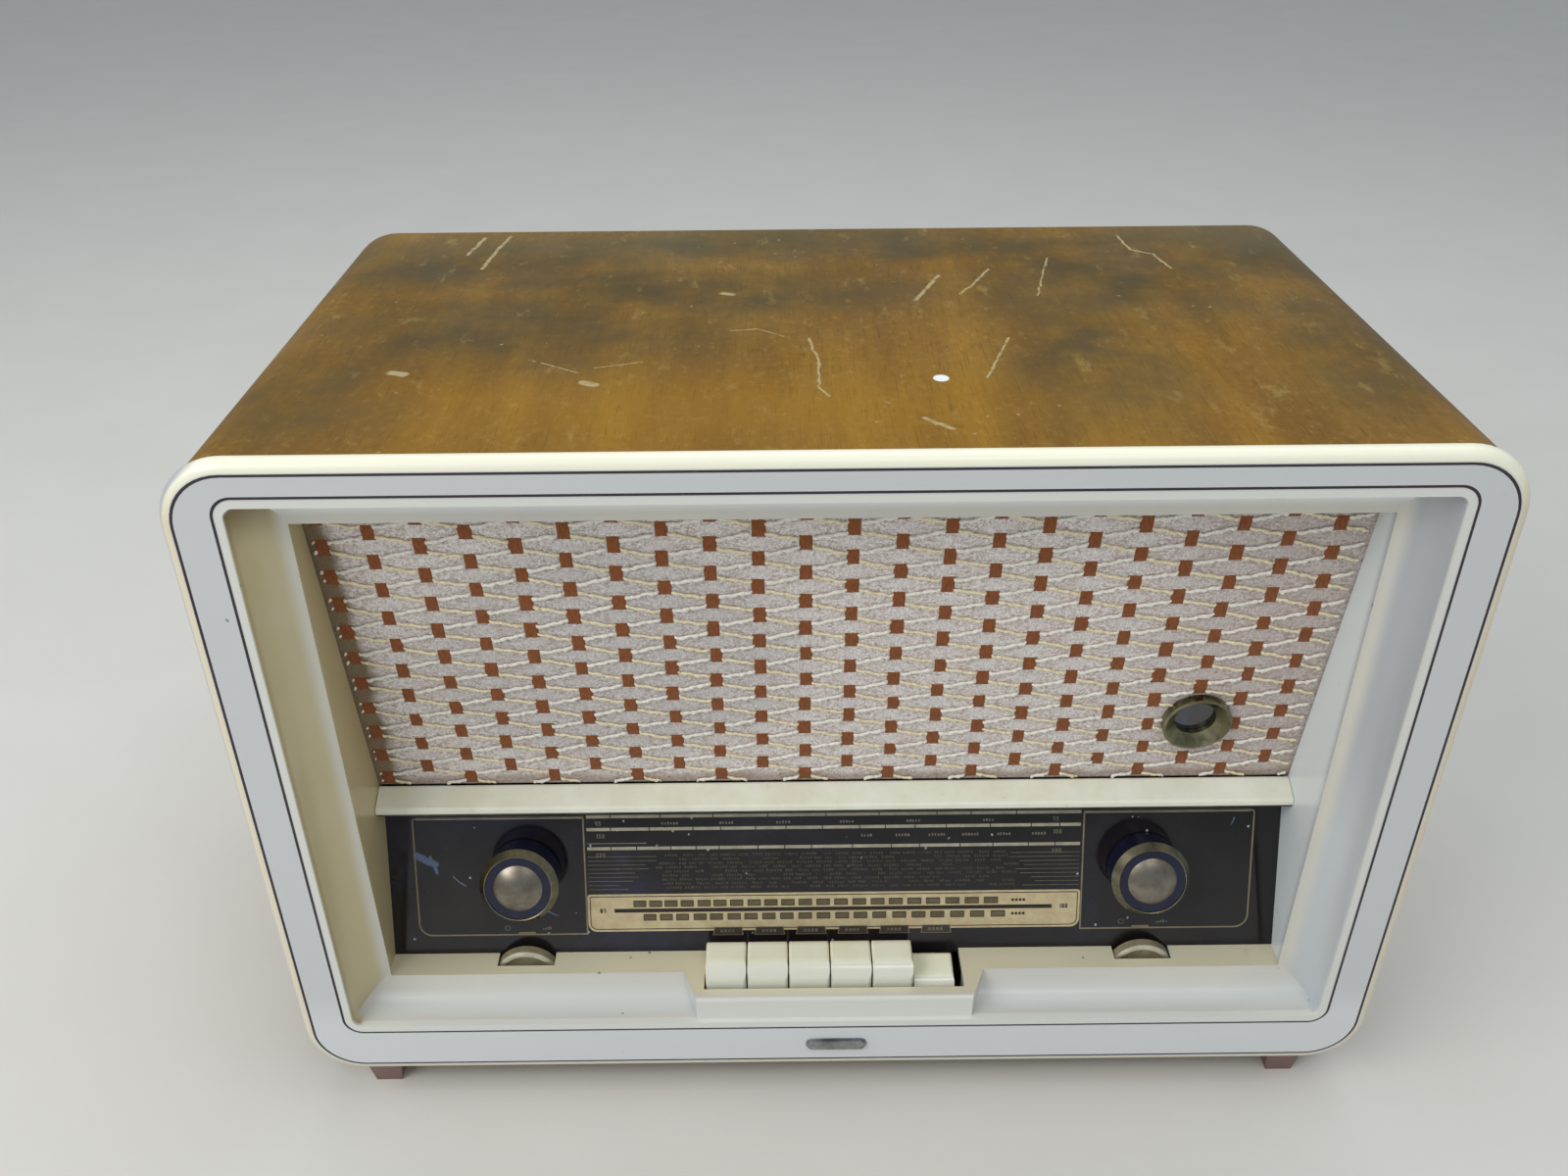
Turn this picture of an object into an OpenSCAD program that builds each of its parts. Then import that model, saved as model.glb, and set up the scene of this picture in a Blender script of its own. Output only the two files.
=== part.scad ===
// Tabletop valve radio: wood cabinet, moulded front frame, tilted dial, two knobs,
// two tone wheels, six piano keys. Millimetres, +X right, +Y back, +Z up.
// The origin is the middle of the footprint, on the surface the feet rest on.

/* [Front frame] */
// Width of the moulded front frame
bezel_w = 540; // [500:2:650]
// Height of the moulded front frame
bezel_h = 350; // [330:2:430]
// Outer corner radius of the front frame
corner_r = 29; // [20:1:40]
// Depth of the frame's rim in front of the cabinet
rim_t = 6; // [5:0.5:9]
// Depth of the concave moulding behind the lip
cove_d = 21; // [19:0.5:26]
// Radius of the concave moulding
cove_r = 16.4; // [13:0.2:18]

/* [Cabinet] */
// Depth of the set from the frame's face to the cabinet's rear edge
cabinet_d = 292.7; // [270:1:360]
// Thickness of the cabinet's walls
wall_t = 10; // [8:0.5:12]
// Height of the feet
foot_h = 19; // [15:1:25]
// Width of a foot at its top
foot_w = 19; // [16:1:24]

/* [Dial] */
// Lean of the dial glass from upright, in degrees
dial_lean = 19.4; // [17:0.2:21]
// Thickness of the dial glass
glass_t = 3; // [2:0.25:4]
// Height of the dial glass along its slope
glass_len = 94; // [88:1:96]
// Travel of the pointer from end to end
pointer_travel = 224; // [180:2:230]

/* [Speaker cloth] */
// Lean of the loudspeaker cloth from upright, in degrees
cloth_lean = 8.3; // [6:0.1:10]
// Width of the oval loudspeaker opening
speaker_w = 176; // [150:2:180]
// Height of the oval loudspeaker opening
speaker_h = 134; // [110:2:136]

/* [Knobs and wheels] */
// Largest diameter of a knob
knob_d = 39.7; // [34:0.1:48]
// Height of a knob from the glass to its face
knob_len = 21; // [18:0.5:24]
// Diameter of the knob shafts
shaft_d = 6; // [5:0.25:7.5]
// Radial clearance of a shaft in its bush
run_gap = 0.05; // [0.02:0.01:0.1]
// Diameter of a tone wheel
wheel_d = 32; // [28:0.2:39]
// Thickness of a tone wheel
wheel_t = 6; // [5:0.25:7]

/* [Piano keys] */
// Spacing of the piano keys
key_pitch = 21.15; // [18:0.05:25.5]
// Gap between neighbouring keys
key_gap = 0.6; // [0.5:0.1:1]
// Angle that a key turns through when it is pushed in
key_travel = 7.5; // [5:0.5:8]
// Diameter of the rod that the keys turn on
rod_d = 5; // [4:0.25:6]

/* [Hidden] */

$fn = 64;
eps = 0.01;

// Place of the frame: the badge stands proud of the face and sets the front of the set
badge_t = 2;
front_y = -(cabinet_d + badge_t) / 2 + badge_t;

// Front frame, measured from its face and its bottom edge
half_w = bezel_w / 2;
outer_line = 5.9;
inner_line_side = 22.3;
inner_line_top = 15.6;
inner_line_bottom = 29.3;
line_w = 1.3;
line_depth = 1;
open_half_w = half_w - 26.4;
open_z0 = 33.8;
open_z1 = bezel_h - 20.1;
lip_r = 5;
ridge_half_w = open_half_w - cove_r;
sill_z = open_z0 + 13.8;
roof_z = open_z1 - 18.3;
shell_t = 3;

// Dial, measured from the bottom front edge of the glass as it leans
dial_y = 35.8;
dial_z = sill_z + 0.4;
glass_half_w = ridge_half_w + 1;
glass_drop = 3;
plate_back = 14;
plate_v0 = 8;
plate_v1 = 86;
rail_v = 91.5;
knob_x = half_w - 111;
knob_v = 44;
cord_w = 25;
drum_r = pointer_travel / PI;
drum_x = half_w - 190;
drum_v = 102;
drum_groove = drum_r - 0.75;
spindle_r = 7;
pulley_r = 5;

// Cloth and baffle, measured from the cloth's bottom front edge as it leans
cloth_y = 61.9;
cloth_z = 139.2;
cloth_len = (roof_z + 14 - cloth_z) / cos(cloth_lean);
cloth_t = 1;
baffle_t = 8;
speaker_x = -half_w + 163;
speaker_v = (roof_z - cloth_z) / cos(cloth_lean) * 0.475;
eye_x = half_w - 96;
eye_v = 41;
eye_r = 11;

// Piano keys, in the frame's own coordinates
key_x0 = -3 * key_pitch - 2.8;
well_x0 = key_x0 - 0.5;
well_x1 = key_x0 + 6 * key_pitch + 4.2;
well_y0 = 9.4;
key_y0 = 11;
key_y1 = 31;
key_z0 = 42;
key_z1 = sill_z + 11.4;
key_round = 8;
pivot_y = 96;
pivot_z = 48;

// Tone wheels
wheel_x = half_w - 110.7;
wheel_y = 28;
wheel_rise = 7.2;
wheel_z = sill_z + wheel_rise - wheel_d / 2;
pot_r = 11;

// Cabinet and chassis
side_in = 1;
cab_half_w = half_w - side_in;
inner_half_w = cab_half_w - wall_t;
floor_z = side_in + wall_t;
ceiling_z = bezel_h - side_in - wall_t;
chassis_half_w = half_w - 56;
chassis_y0 = 122;
chassis_y1 = cabinet_d - 30;
chassis_z = 60;
chassis_foot_w = 17;
chassis_bolt_x = chassis_half_w + 8;
chassis_bolt_y = [chassis_y0 + 14, chassis_y1 - 14];
sheet_t = 1.5;
cover_y = cabinet_d - 9;
cover_t = 3;
cover_screw_r = 1.5;
cover_hole_r = 2.2;
screw_head_r = 4;
screw_head_t = 2;
slot_w = 1;
slot_depth = 0.8;
batten = 12;
batten_len = 60;
grommet_x = half_w - 120;
grommet_z = 34;
foot_x = half_w - 34;
foot_y0 = 16.5;
foot_y1 = cabinet_d - 24;
bolt_d = 4;
bolt_head_d = 8;
bolt_head_t = 3;
nut_t = 3.2;
foot_recess_d = 9;
foot_recess = 5.5;

// ---- placing ----

module in_frame() {
  translate([0, front_y, foot_h]) children();
}

module in_dial() {
  in_frame() translate([0, dial_y, dial_z]) rotate([-dial_lean, 0, 0]) children();
}

module in_cloth() {
  in_frame() translate([0, cloth_y, cloth_z]) rotate([cloth_lean, 0, 0]) children();
}

// Turns a solid drawn along +Z so that it runs back along +Y
module along_y() {
  rotate([-90, 0, 0]) children();
}

module rod_y(r, y0, y1) {
  translate([0, y0, 0]) along_y() cylinder(r = r, h = y1 - y0);
}

module rod_x(r, x0, x1) {
  translate([x0, 0, 0]) rotate([0, 90, 0]) cylinder(r = r, h = x1 - x0);
}

// Extrudes an outline drawn in Y and Z along X
module along_x(x0, x1) {
  translate([x0, 0, 0]) rotate([90, 0, 90]) linear_extrude(x1 - x0) children();
}

// Extrudes an outline drawn in X and Z back along Y
module back_y(y0, y1) {
  translate([0, y1, 0]) rotate([90, 0, 0]) linear_extrude(y1 - y0) children();
}

module rounded_rect(x0, x1, z0, z1, r) {
  union() {
    translate([x0 + r, z0]) square([x1 - x0 - 2 * r, z1 - z0]);
    translate([x0, z0 + r]) square([x1 - x0, z1 - z0 - 2 * r]);
    for (x = [x0 + r, x1 - r], z = [z0 + r, z1 - r]) translate([x, z]) circle(r);
  }
}

module stadium(w, h) {
  union() {
    square([w - h, h], center = true);
    for (x = [-1, 1]) translate([x * (w - h) / 2, 0]) circle(h / 2);
  }
}

// Carries an outline round a rectangle with round corners. The outline's X is the distance
// outside the path and its Y is the distance back from the face.
module round_path(x0, x1, z0, z1, r) {
  along_x(x0 + r, x1 - r) translate([0, z1]) mirror([1, -1]) children();
  along_x(x0 + r, x1 - r) translate([0, z0]) mirror([0, 1]) mirror([1, -1]) children();
  translate([x1, 0, z0 + r]) linear_extrude(z1 - z0 - 2 * r) children();
  translate([x0, 0, z0 + r]) linear_extrude(z1 - z0 - 2 * r) mirror([1, 0]) children();
  for (corner = [[x1 - r, z1 - r, -90], [x1 - r, z0 + r, 0], [x0 + r, z0 + r, 90],
      [x0 + r, z1 - r, 180]])
    translate([corner[0], 0, corner[1]]) rotate([0, corner[2], 0]) rotate([-90, 0, 0])
      rotate_extrude(angle = 90) translate([r, 0]) children();
}

// ---- cabinet ----

module cabinet_outline(inset, r) {
  rounded_rect(-cab_half_w + inset, cab_half_w - inset, side_in + inset,
    bezel_h - side_in - inset, r);
}

module floor_hole(x, y) {
  translate([x, y, side_in - 1]) cylinder(d = bolt_d, h = wall_t + 2);
}

module cabinet() {
  color("saddlebrown") in_frame() {
    difference() {
      back_y(rim_t, cabinet_d) cabinet_outline(0, corner_r);
      back_y(rim_t - 1, cabinet_d + 1) cabinet_outline(wall_t, corner_r - wall_t);
      for (x = [-foot_x, foot_x], y = [foot_y0, foot_y1]) floor_hole(x, y);
      for (x = [-1, 1], y = chassis_bolt_y) floor_hole(x * chassis_bolt_x, y);
    }
    // blocks that the back cover is screwed to
    difference() {
      union() {
        for (x = [-1, 1], z = [floor_z + batten / 2 - eps, ceiling_z - batten / 2 + eps])
          translate([x * (inner_half_w - batten_len), cover_y - batten / 2, z])
            cube([batten_len, batten, batten], center = true);
        for (x = [-1, 1])
          translate([x * (inner_half_w - batten / 2 + eps), cover_y - batten / 2, bezel_h / 2])
            cube([batten, batten, batten_len], center = true);
      }
      cover_screw_places() rod_y(cover_screw_r, cover_y - batten - 1, cover_y + 1);
    }
  }
}

// ---- front frame ----

// Section of the space in front of the concave moulding: X across it, Y back from the face
module cove_outline(half, mid) {
  straight = cove_d - cove_r;
  translate([mid, 0]) union() {
    translate([-half, -1]) square([2 * half, 1 + straight]);
    translate([-half + cove_r, -1]) square([2 * (half - cove_r), 1 + cove_d]);
    for (s = [-1, 1]) translate([s * (half - cove_r), straight]) circle(cove_r);
  }
}

module cove_space(grow) {
  half_h = (open_z1 - open_z0) / 2;
  mid_z = (open_z1 + open_z0) / 2;
  intersection() {
    linear_extrude(bezel_h) cove_outline(open_half_w + grow, 0);
    along_x(-half_w, half_w) mirror([1, -1]) cove_outline(half_h + grow, mid_z);
    back_y(-2, cove_d + 4) rounded_rect(-open_half_w - grow, open_half_w + grow,
      open_z0 - grow, open_z1 + grow, lip_r + grow);
  }
}

// Side view of the walls behind the ridge: the cloth and the glass close them at the back
module reveal_outline() {
  glass_y0 = dial_y - 0.45 + (sill_z - shell_t - dial_z) * tan(dial_lean);
  shelf_y = dial_y - 0.45 + (cloth_z - dial_z) * tan(dial_lean);
  roof_y = cloth_y - (roof_z + shell_t - cloth_z) * tan(cloth_lean) - 0.1;
  polygon([[cove_d - 3, sill_z - shell_t], [glass_y0, sill_z - shell_t], [shelf_y, cloth_z - 1],
    [cloth_y - 0.1, cloth_z - 1], [roof_y, roof_z + shell_t], [cove_d - 3, roof_z + shell_t]]);
}

module reveal() {
  inner = ridge_half_w + 1.3;
  difference() {
    along_x(-inner - shell_t, inner + shell_t) reveal_outline();
    translate([-inner, cove_d - 4, sill_z]) cube([2 * inner, 80, roof_z - sill_z]);
  }
}

// Block in front of the keys, narrower at the face than at the ridge
apron_y = 2.6;

module apron_outline() {
  back = 77;
  front = 69.5;
  mid = (well_x0 + well_x1) / 2;
  polygon([[mid - front, apron_y], [mid + front, apron_y], [mid + back, cove_d],
    [mid - back, cove_d]]);
}

module apron() {
  round_r = 2;
  intersection() {
    translate([0, 0, open_z0 - 6]) linear_extrude(sill_z - open_z0 + 6) apron_outline();
    along_x(-half_w, half_w) union() {
      translate([apron_y + round_r, 0]) square([cove_d, sill_z]);
      square([cove_d, sill_z - round_r]);
      translate([apron_y + round_r, sill_z - round_r]) circle(round_r);
    }
  }
}

module key_well() {
  translate([well_x0, well_y0, 14]) cube([well_x1 - well_x0, 40, sill_z]);
}

// Slot for a tone wheel, wider under the sill's thin edge
module wheel_slot(side) {
  r = wheel_d / 2;
  lip = 1.2;
  gap = 0.6;
  front = wheel_y - 1.6;
  depth = 20;
  width = 2 * sqrt(r * r - pow(r - wheel_rise - lip, 2)) + 2 * gap;
  translate([side * wheel_x - width / 2, front, sill_z - shell_t - 1])
    cube([width, depth, shell_t + 2]);
  translate([side * wheel_x - r - gap, front, sill_z - shell_t - 1])
    cube([2 * (r + gap), depth, shell_t + 1 - lip]);
}

module line_outline() {
  translate([-line_w / 2, -1]) square([line_w, line_depth + 1]);
}

module outer_line_path() {
  round_path(-half_w + outer_line, half_w - outer_line, outer_line, bezel_h - outer_line,
    corner_r - outer_line) children();
}

module inner_line_path() {
  round_path(-half_w + inner_line_side, half_w - inner_line_side, inner_line_bottom,
    bezel_h - inner_line_top, 9) children();
}

// Rim of the flange with its rounded outer edge, as an outline for round_path
module rim_outline(edge_r, inward) {
  union() {
    translate([-inward, 0]) square([inward, rim_t]);
    translate([-inward, edge_r]) square([inward + edge_r, rim_t - edge_r]);
    intersection() {
      translate([0, edge_r]) circle(edge_r);
      translate([-1, 0]) square([edge_r + 1, edge_r + 0.2]);
    }
  }
}

module flange() {
  edge_r = outer_line - 0.4;
  inward = 12;
  inset = edge_r + inward / 2;
  union() {
    back_y(0, rim_t) rounded_rect(-half_w + inset, half_w - inset, inset, bezel_h - inset,
      corner_r - inset);
    round_path(-half_w + edge_r, half_w - edge_r, edge_r, bezel_h - edge_r,
      corner_r - edge_r) rim_outline(edge_r, inward);
  }
}

module bezel() {
  color("gainsboro") in_frame() difference() {
    union() {
      difference() {
        union() {
          flange();
          intersection() {
            cove_space(shell_t);
            back_y(0, cove_d + shell_t) translate([-half_w, 0]) square([bezel_w, bezel_h]);
          }
          reveal();
        }
        cove_space(0);
        translate([-ridge_half_w, 0, sill_z])
          cube([2 * ridge_half_w, cove_d + 6, roof_z - sill_z]);
      }
      apron();
    }
    key_well();
    wheel_slot(-1);
    wheel_slot(1);
    outer_line_path() line_outline();
    inner_line_path() line_outline();
  }
}

module bezel_lines() {
  depth = 0.7;
  inset = 0.3;
  color("dimgray") in_frame() {
    outer_line_path() translate([-line_w / 2, inset]) square([line_w, depth]);
    inner_line_path() translate([-line_w / 2, inset]) square([line_w, depth]);
  }
}

// Plain bar on the frame's lower rail
module badge_bar() {
  width = 31;
  height = 7;
  step = 0.8;
  base_t = 0.6;
  color("silver") in_frame() translate([0, 0, (outer_line + inner_line_bottom) / 2]) {
    back_y(-badge_t, -base_t) stadium(width - 2 * step, height - 2 * step);
    back_y(-base_t, 0) stadium(width, height);
  }
}

// Ledge between the cloth and the dial
ledge_y = 48.8;
ledge_drop = 8.3;

module ledge_bar() {
  back = cloth_y - 0.6;
  color("gainsboro") in_frame()
    along_x(-ridge_half_w - 1, ridge_half_w + 1)
      polygon([[ledge_y, cloth_z - ledge_drop], [ledge_y, cloth_z - 6],
        [ledge_y + 1, cloth_z - 4.9], [back - 1.1, cloth_z - 0.4], [back, cloth_z - 0.4],
        [back, cloth_z - ledge_drop]]);
}

module ledge_trim() {
  trim_t = 1.6;
  color("tan") in_frame()
    along_x(-ridge_half_w - 1, ridge_half_w + 1)
      translate([ledge_y + 0.8, cloth_z - ledge_drop - trim_t]) square([3, trim_t]);
}

module board_outline(half, v0, v1) {
  translate([-half, v0]) square([2 * half, v1 - v0]);
}

module baffle() {
  color("peru") in_cloth() difference() {
    back_y(cloth_t, cloth_t + baffle_t)
      board_outline(ridge_half_w + 8, 0, cloth_len - 6);
    translate([speaker_x, 0, speaker_v]) back_y(0, cloth_t + baffle_t + 1)
      stadium(speaker_w, speaker_h);
    translate([eye_x, 0, eye_v]) rod_y(eye_r + 1, 0, cloth_t + baffle_t + 1);
  }
}

module speaker_cloth() {
  color("rosybrown") in_cloth() difference() {
    back_y(0, cloth_t) board_outline(ridge_half_w + 6, 0, cloth_len - 8);
    translate([eye_x, 0, eye_v]) rod_y(eye_r + 1, -1, cloth_t + 1);
  }
}

// ---- dial ----

module dial_glass() {
  color("black", 0.9) in_dial() difference() {
    back_y(0, glass_t) board_outline(glass_half_w + 0.6, -glass_drop, glass_len - glass_drop);
    for (x = [-knob_x, knob_x]) translate([x, 0, knob_v]) rod_y(shaft_d / 2 + 3, -1, glass_t + 1);
  }
}

// Steel plate behind the glass with the bushes of both shafts
plate_half = half_w - 44;
rail_r = 1.5;
rail_y = plate_back - 2;
lamp_x = half_w - 66;
lamp_v = 50;

// Arms from the foot of the dial plate back to the front wall of the chassis
module plate_arms() {
  arm_w = 14;
  reach = (chassis_y0 - dial_y) / cos(dial_lean);
  difference() {
    in_dial() for (x = [-plate_half, plate_half - arm_w]) translate([x, plate_back, plate_v0])
      cube([arm_w, reach, sheet_t]);
    in_frame() translate([-half_w, chassis_y0, 0]) cube([bezel_w, reach, bezel_h]);
  }
}

module dial_plate() {
  half = plate_half;
  bush_r = shaft_d / 2 + 3.5;
  end_w = 28;
  color("lightgray") plate_arms();
  color("lightgray") in_dial() difference() {
    union() {
      back_y(plate_back, plate_back + sheet_t) board_outline(half, plate_v0, plate_v1);
      for (x = [-half, half - end_w])
        back_y(plate_back, plate_back + sheet_t)
          translate([x, plate_v1 - 1]) square([end_w, rail_v + 5 - plate_v1]);
      for (x = [-half, half - sheet_t]) translate([x, plate_back - 4.5, rail_v - 4])
        cube([sheet_t, 5, 8]);
      translate([knob_x, 0, knob_v]) rod_y(bush_r, plate_back - 2, plate_back + 6);
      // posts that the dial cord slides round
      for (x = [-post_x, post_x]) translate([x, 0, post_v])
        rod_y(pulley_r - cord_r - 0.25, plate_back, cord_w + 4);
    }
    translate([knob_x, 0, knob_v]) rod_y(shaft_d / 2 + run_gap, 0, plate_back + 8);
    translate([-knob_x, 0, knob_v]) rod_y(bush_r, plate_back - 1, plate_back + 3);
    for (x = [-lamp_x, lamp_x]) translate([x, 0, lamp_v]) rod_y(7, plate_back - 1, plate_back + 3);
    translate([0, rail_y, rail_v]) rod_x(rail_r, -half - 1, half + 1);
  }
}

module pointer_rail() {
  color("silver") in_dial() translate([0, rail_y, rail_v]) rod_x(rail_r, -plate_half, plate_half);
}

module pointer() {
  color("orangered") in_dial() {
    difference() {
      union() {
        translate([-6, plate_back - 5.5, rail_v - 3.5]) cube([12, 7, 7]);
        translate([-1.5, plate_back - 6, rail_v + 1]) cube([3, loop_w - plate_back + 5.4, 2.5]);
      }
      translate([0, rail_y, rail_v]) rod_x(rail_r + run_gap, -7, 7);
    }
    translate([-0.8, 6, 8]) cube([1.6, 1, rail_v - 6]);
    translate([-0.8, 6, rail_v - 3]) cube([1.6, 3.5, 3]);
  }
}

module dial_lamps() {
  bulb_r = 4.6;
  tip_y = 9;
  color("khaki") in_dial() for (x = [-lamp_x, lamp_x]) translate([x, 0, lamp_v]) {
    rod_y(bulb_r, tip_y, tip_y + 15);
    translate([0, tip_y, 0]) sphere(bulb_r);
    rod_y(7, plate_back + sheet_t, plate_back + 14);
  }
}

// Closed loop of cord, as the circles that it bends round in order. All are in the plane of
// the glass: [x, up the glass, radius, depth on arrival, depth on leaving, extra turns].
cord_r = 0.4;
chord_dip = 0.15;
post_x = half_w - 62;
post_v = rail_v - 2.8;
loop_w = plate_back + 4.5;
cord_stops = [
  [post_x, post_v, pulley_r, loop_w, cord_w - 1, 0],
  [knob_x, knob_v, spindle_r, cord_w - 1, cord_w + 1.6, 1],
  [drum_x, drum_v, drum_r, cord_w + 1.6, cord_w - 1.6, 1],
  [-post_x, post_v, pulley_r, cord_w - 1.6, loop_w, 0]];

function stop_at(i) = cord_stops[(i + len(cord_stops)) % len(cord_stops)];
function heading(i) =
  let(a = stop_at(i), b = stop_at(i + 1), d = [b[0] - a[0], b[1] - a[1]])
  atan2(d[1], d[0]) - asin((a[2] - b[2]) / norm(d));
function clockwise(from, to) = let(t = (from - to) % 360) t < 0 ? t + 360 : t;
function round_stop(i) =
  let(c = stop_at(i), from = heading(i - 1), turn = clockwise(from, heading(i)),
    whole = turn > 300 ? turn : turn + 360 * c[5],
    steps = ceil(whole / (2 * acos(1 - chord_dip / c[2]))))
  [for (k = [0 : steps]) let(t = k / steps, a = from + 90 - whole * t)
    [c[0] + c[2] * cos(a), c[3] + (c[4] - c[3]) * t, c[1] + c[2] * sin(a)]];
cord_path = [for (i = [0 : len(cord_stops) - 1]) each round_stop(i)];

module closed_tube(path, r, sides) {
  n = len(path);
  rings = [for (i = [0 : n - 1])
    let(ahead = path[(i + 1) % n] - path[(i + n - 1) % n], along = ahead / norm(ahead),
      side = cross(along, [0, 1, 0]), out = side / norm(side), up = cross(out, along))
    for (k = [0 : sides - 1])
      path[i] + r * (cos(360 * k / sides) * out + sin(360 * k / sides) * up)];
  polyhedron(rings, [for (i = [0 : n - 1], k = [0 : sides - 1])
    let(j = (i + 1) % n, m = (k + 1) % sides)
    [i * sides + k, i * sides + m, j * sides + m, j * sides + k]]);
}

module dial_cord() {
  color("wheat") in_dial() closed_tube(cord_path, cord_r, 8);
}

// ---- magic eye ----

module eye_ring() {
  color("darkkhaki") in_cloth() translate([eye_x, 0, eye_v]) along_y()
    rotate_extrude() polygon([[eye_r - 1, 2.6], [eye_r - 1, 0.2], [15.2, -4.6], [16.5, -4.2],
      [16.5, -0.1], [15.3, -0.1], [15.3, -2.9], [eye_r + 0.8, -0.2], [eye_r + 0.5, 2.6]]);
}

module eye_tube() {
  len = 60;
  color("darkslategray") in_cloth() translate([eye_x, 2.8, eye_v]) {
    rod_y(eye_r - 0.4, 0, len);
    rod_y(eye_r + 2.5, len - 14, len + 4);
  }
}

// ---- knobs ----

module knob_body() {
  big = knob_d / 2 - 1.2;
  along_y() difference() {
    union() {
      translate([0, 0, -knob_len + 5.4]) cylinder(r = big, h = knob_len - 6.9);
      translate([0, 0, -knob_len + 2]) cylinder(r = knob_d / 2 - 3.2, h = 4);
    }
    translate([0, 0, -knob_len + 5]) cylinder(d = shaft_d, h = knob_len);
  }
}

module knob_band() {
  big = knob_d / 2;
  along_y() rotate_extrude() polygon([[big - 3.2, -knob_len + 1.4], [big - 2.8, -knob_len + 1.2],
    [big, -knob_len + 4.9], [big - 0.3, -knob_len + 5.4], [big - 3.2, -knob_len + 5.4]]);
}

module knob_cap() {
  cap_r = knob_d * 0.307;
  rise = 3.6;
  dome_r = (cap_r * cap_r + rise * rise) / (2 * rise);
  along_y() translate([0, 0, -knob_len + 2]) intersection() {
    translate([0, 0, dome_r - rise]) sphere(dome_r, $fn = 96);
    translate([0, 0, -rise - 1]) cylinder(r = cap_r, h = rise + 1);
  }
}

module at_knob(side) {
  in_dial() translate([side * knob_x, 0, knob_v]) children();
}

module volume_knob_body() {
  color("midnightblue") at_knob(-1) knob_body();
}

module volume_knob_band() {
  color("tan") at_knob(-1) knob_band();
}

module volume_knob_cap() {
  color("silver") at_knob(-1) knob_cap();
}

module volume_shaft() {
  color("silver") at_knob(-1) rod_y(shaft_d / 2, -knob_len + 5, plate_back + 20);
}

// Potentiometer with its bush; the shaft ends inside it
module volume_control() {
  back = plate_back + sheet_t;
  color("dimgray") at_knob(-1) difference() {
    union() {
      rod_y(shaft_d / 2 + 3.4, back - 7, back + 3);
      rod_y(15, back, back + 20);
    }
    rod_y(shaft_d / 2 + run_gap, back - 8, back + 6);
    rod_y(shaft_d / 2 + 1, back + 6 - eps, back + 19);
  }
}

module tuning_knob_body() {
  color("midnightblue") at_knob(1) knob_body();
}

module tuning_knob_band() {
  color("tan") at_knob(1) knob_band();
}

module tuning_knob_cap() {
  color("silver") at_knob(1) knob_cap();
}

module tuning_spindle() {
  color("silver") at_knob(1) {
    rod_y(shaft_d / 2, -knob_len + 5, 44);
    rod_y(spindle_r - cord_r - 0.25, cord_w - 3, cord_w + 3);
    rod_y(spindle_r + 1, cord_w - 4, cord_w - 2.5);
    rod_y(spindle_r + 1, cord_w + 2.5, cord_w + 4);
  }
}

module tuning_flywheel() {
  color("goldenrod") at_knob(1) difference() {
    rod_y(22, 31, 41);
    rod_y(shaft_d / 2, 30, 42);
  }
}

// ---- tuning drive ----

module at_drum() {
  in_dial() translate([drum_x, 0, drum_v]) children();
}

module dial_drum() {
  color("whitesmoke") at_drum() difference() {
    union() {
      along_y() translate([0, 0, cord_w - 3]) rotate_extrude() polygon([[drum_r - 7, 0],
        [drum_r + 1, 0], [drum_groove, 0.6], [drum_groove, 5.4], [drum_r + 1, 6],
        [drum_r - 7, 6]]);
      rod_y(drum_r - 6, cord_w - 1, cord_w + 1);
      rod_y(9, cord_w - 3, cord_w + 5);
    }
    for (a = [0 : 60 : 300]) rotate([0, a, 0]) translate([drum_r * 0.56, 0, 0])
      rod_y(drum_r * 0.2, cord_w - 4, cord_w + 4);
    rod_y(drum_shaft_r, cord_w - 4, cord_w + 6);
  }
}

gang_y0 = cord_w + 10;
gang_len = 58;
gang_r = 22;
gang_step = 28;
plate_step = 4;
vane_t = 0.8;
drum_shaft_r = 3;

module capacitor_rotor() {
  color("silver") at_drum() {
    rod_y(drum_shaft_r, cord_w - 3, gang_y0 + gang_len + 6);
    for (k = [0 : 1], p = [0 : 5]) intersection() {
      y = gang_y0 + 5 + k * gang_step + p * plate_step;
      rod_y(gang_r, y, y + vane_t);
      translate([-gang_r, 0, 0]) cube([2 * gang_r, 2 * gang_y0 + gang_len, gang_r]);
    }
  }
}

module capacitor_frame() {
  wide = 52;
  low = -29;
  high = 29;
  y1 = gang_y0 + gang_len;
  color("lightgray") at_drum() difference() {
    union() {
      for (y = [gang_y0, y1 - 2]) translate([-wide / 2, y, low]) cube([wide, 2, high - low]);
      for (x = [-wide / 2, wide / 2 - 2]) translate([x, gang_y0, low]) cube([2, gang_len, 10]);
      translate([-wide / 2, gang_y0, low]) cube([wide, gang_len, 2]);
      // fixed plates on an insulated bar
      for (k = [0 : 1]) {
        y = gang_y0 + 7 + k * gang_step;
        for (p = [0 : 5]) translate([-gang_r + 3, y + p * plate_step, -25])
          cube([2 * gang_r - 6, vane_t, 20]);
        translate([-gang_r + 3, y, low + 1])
          cube([2 * gang_r - 6, 5 * plate_step + vane_t, 5]);
      }
    }
    rod_y(drum_shaft_r + run_gap, gang_y0 - 1, y1 + 1);
  }
  // bracket from the chassis up to the frame
  color("lightgray") in_frame() intersection() {
    capacitor_bracket();
    translate([drum_x - wide, 0, chassis_z]) cube([2 * wide, 400, 90]);
  }
}

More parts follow.
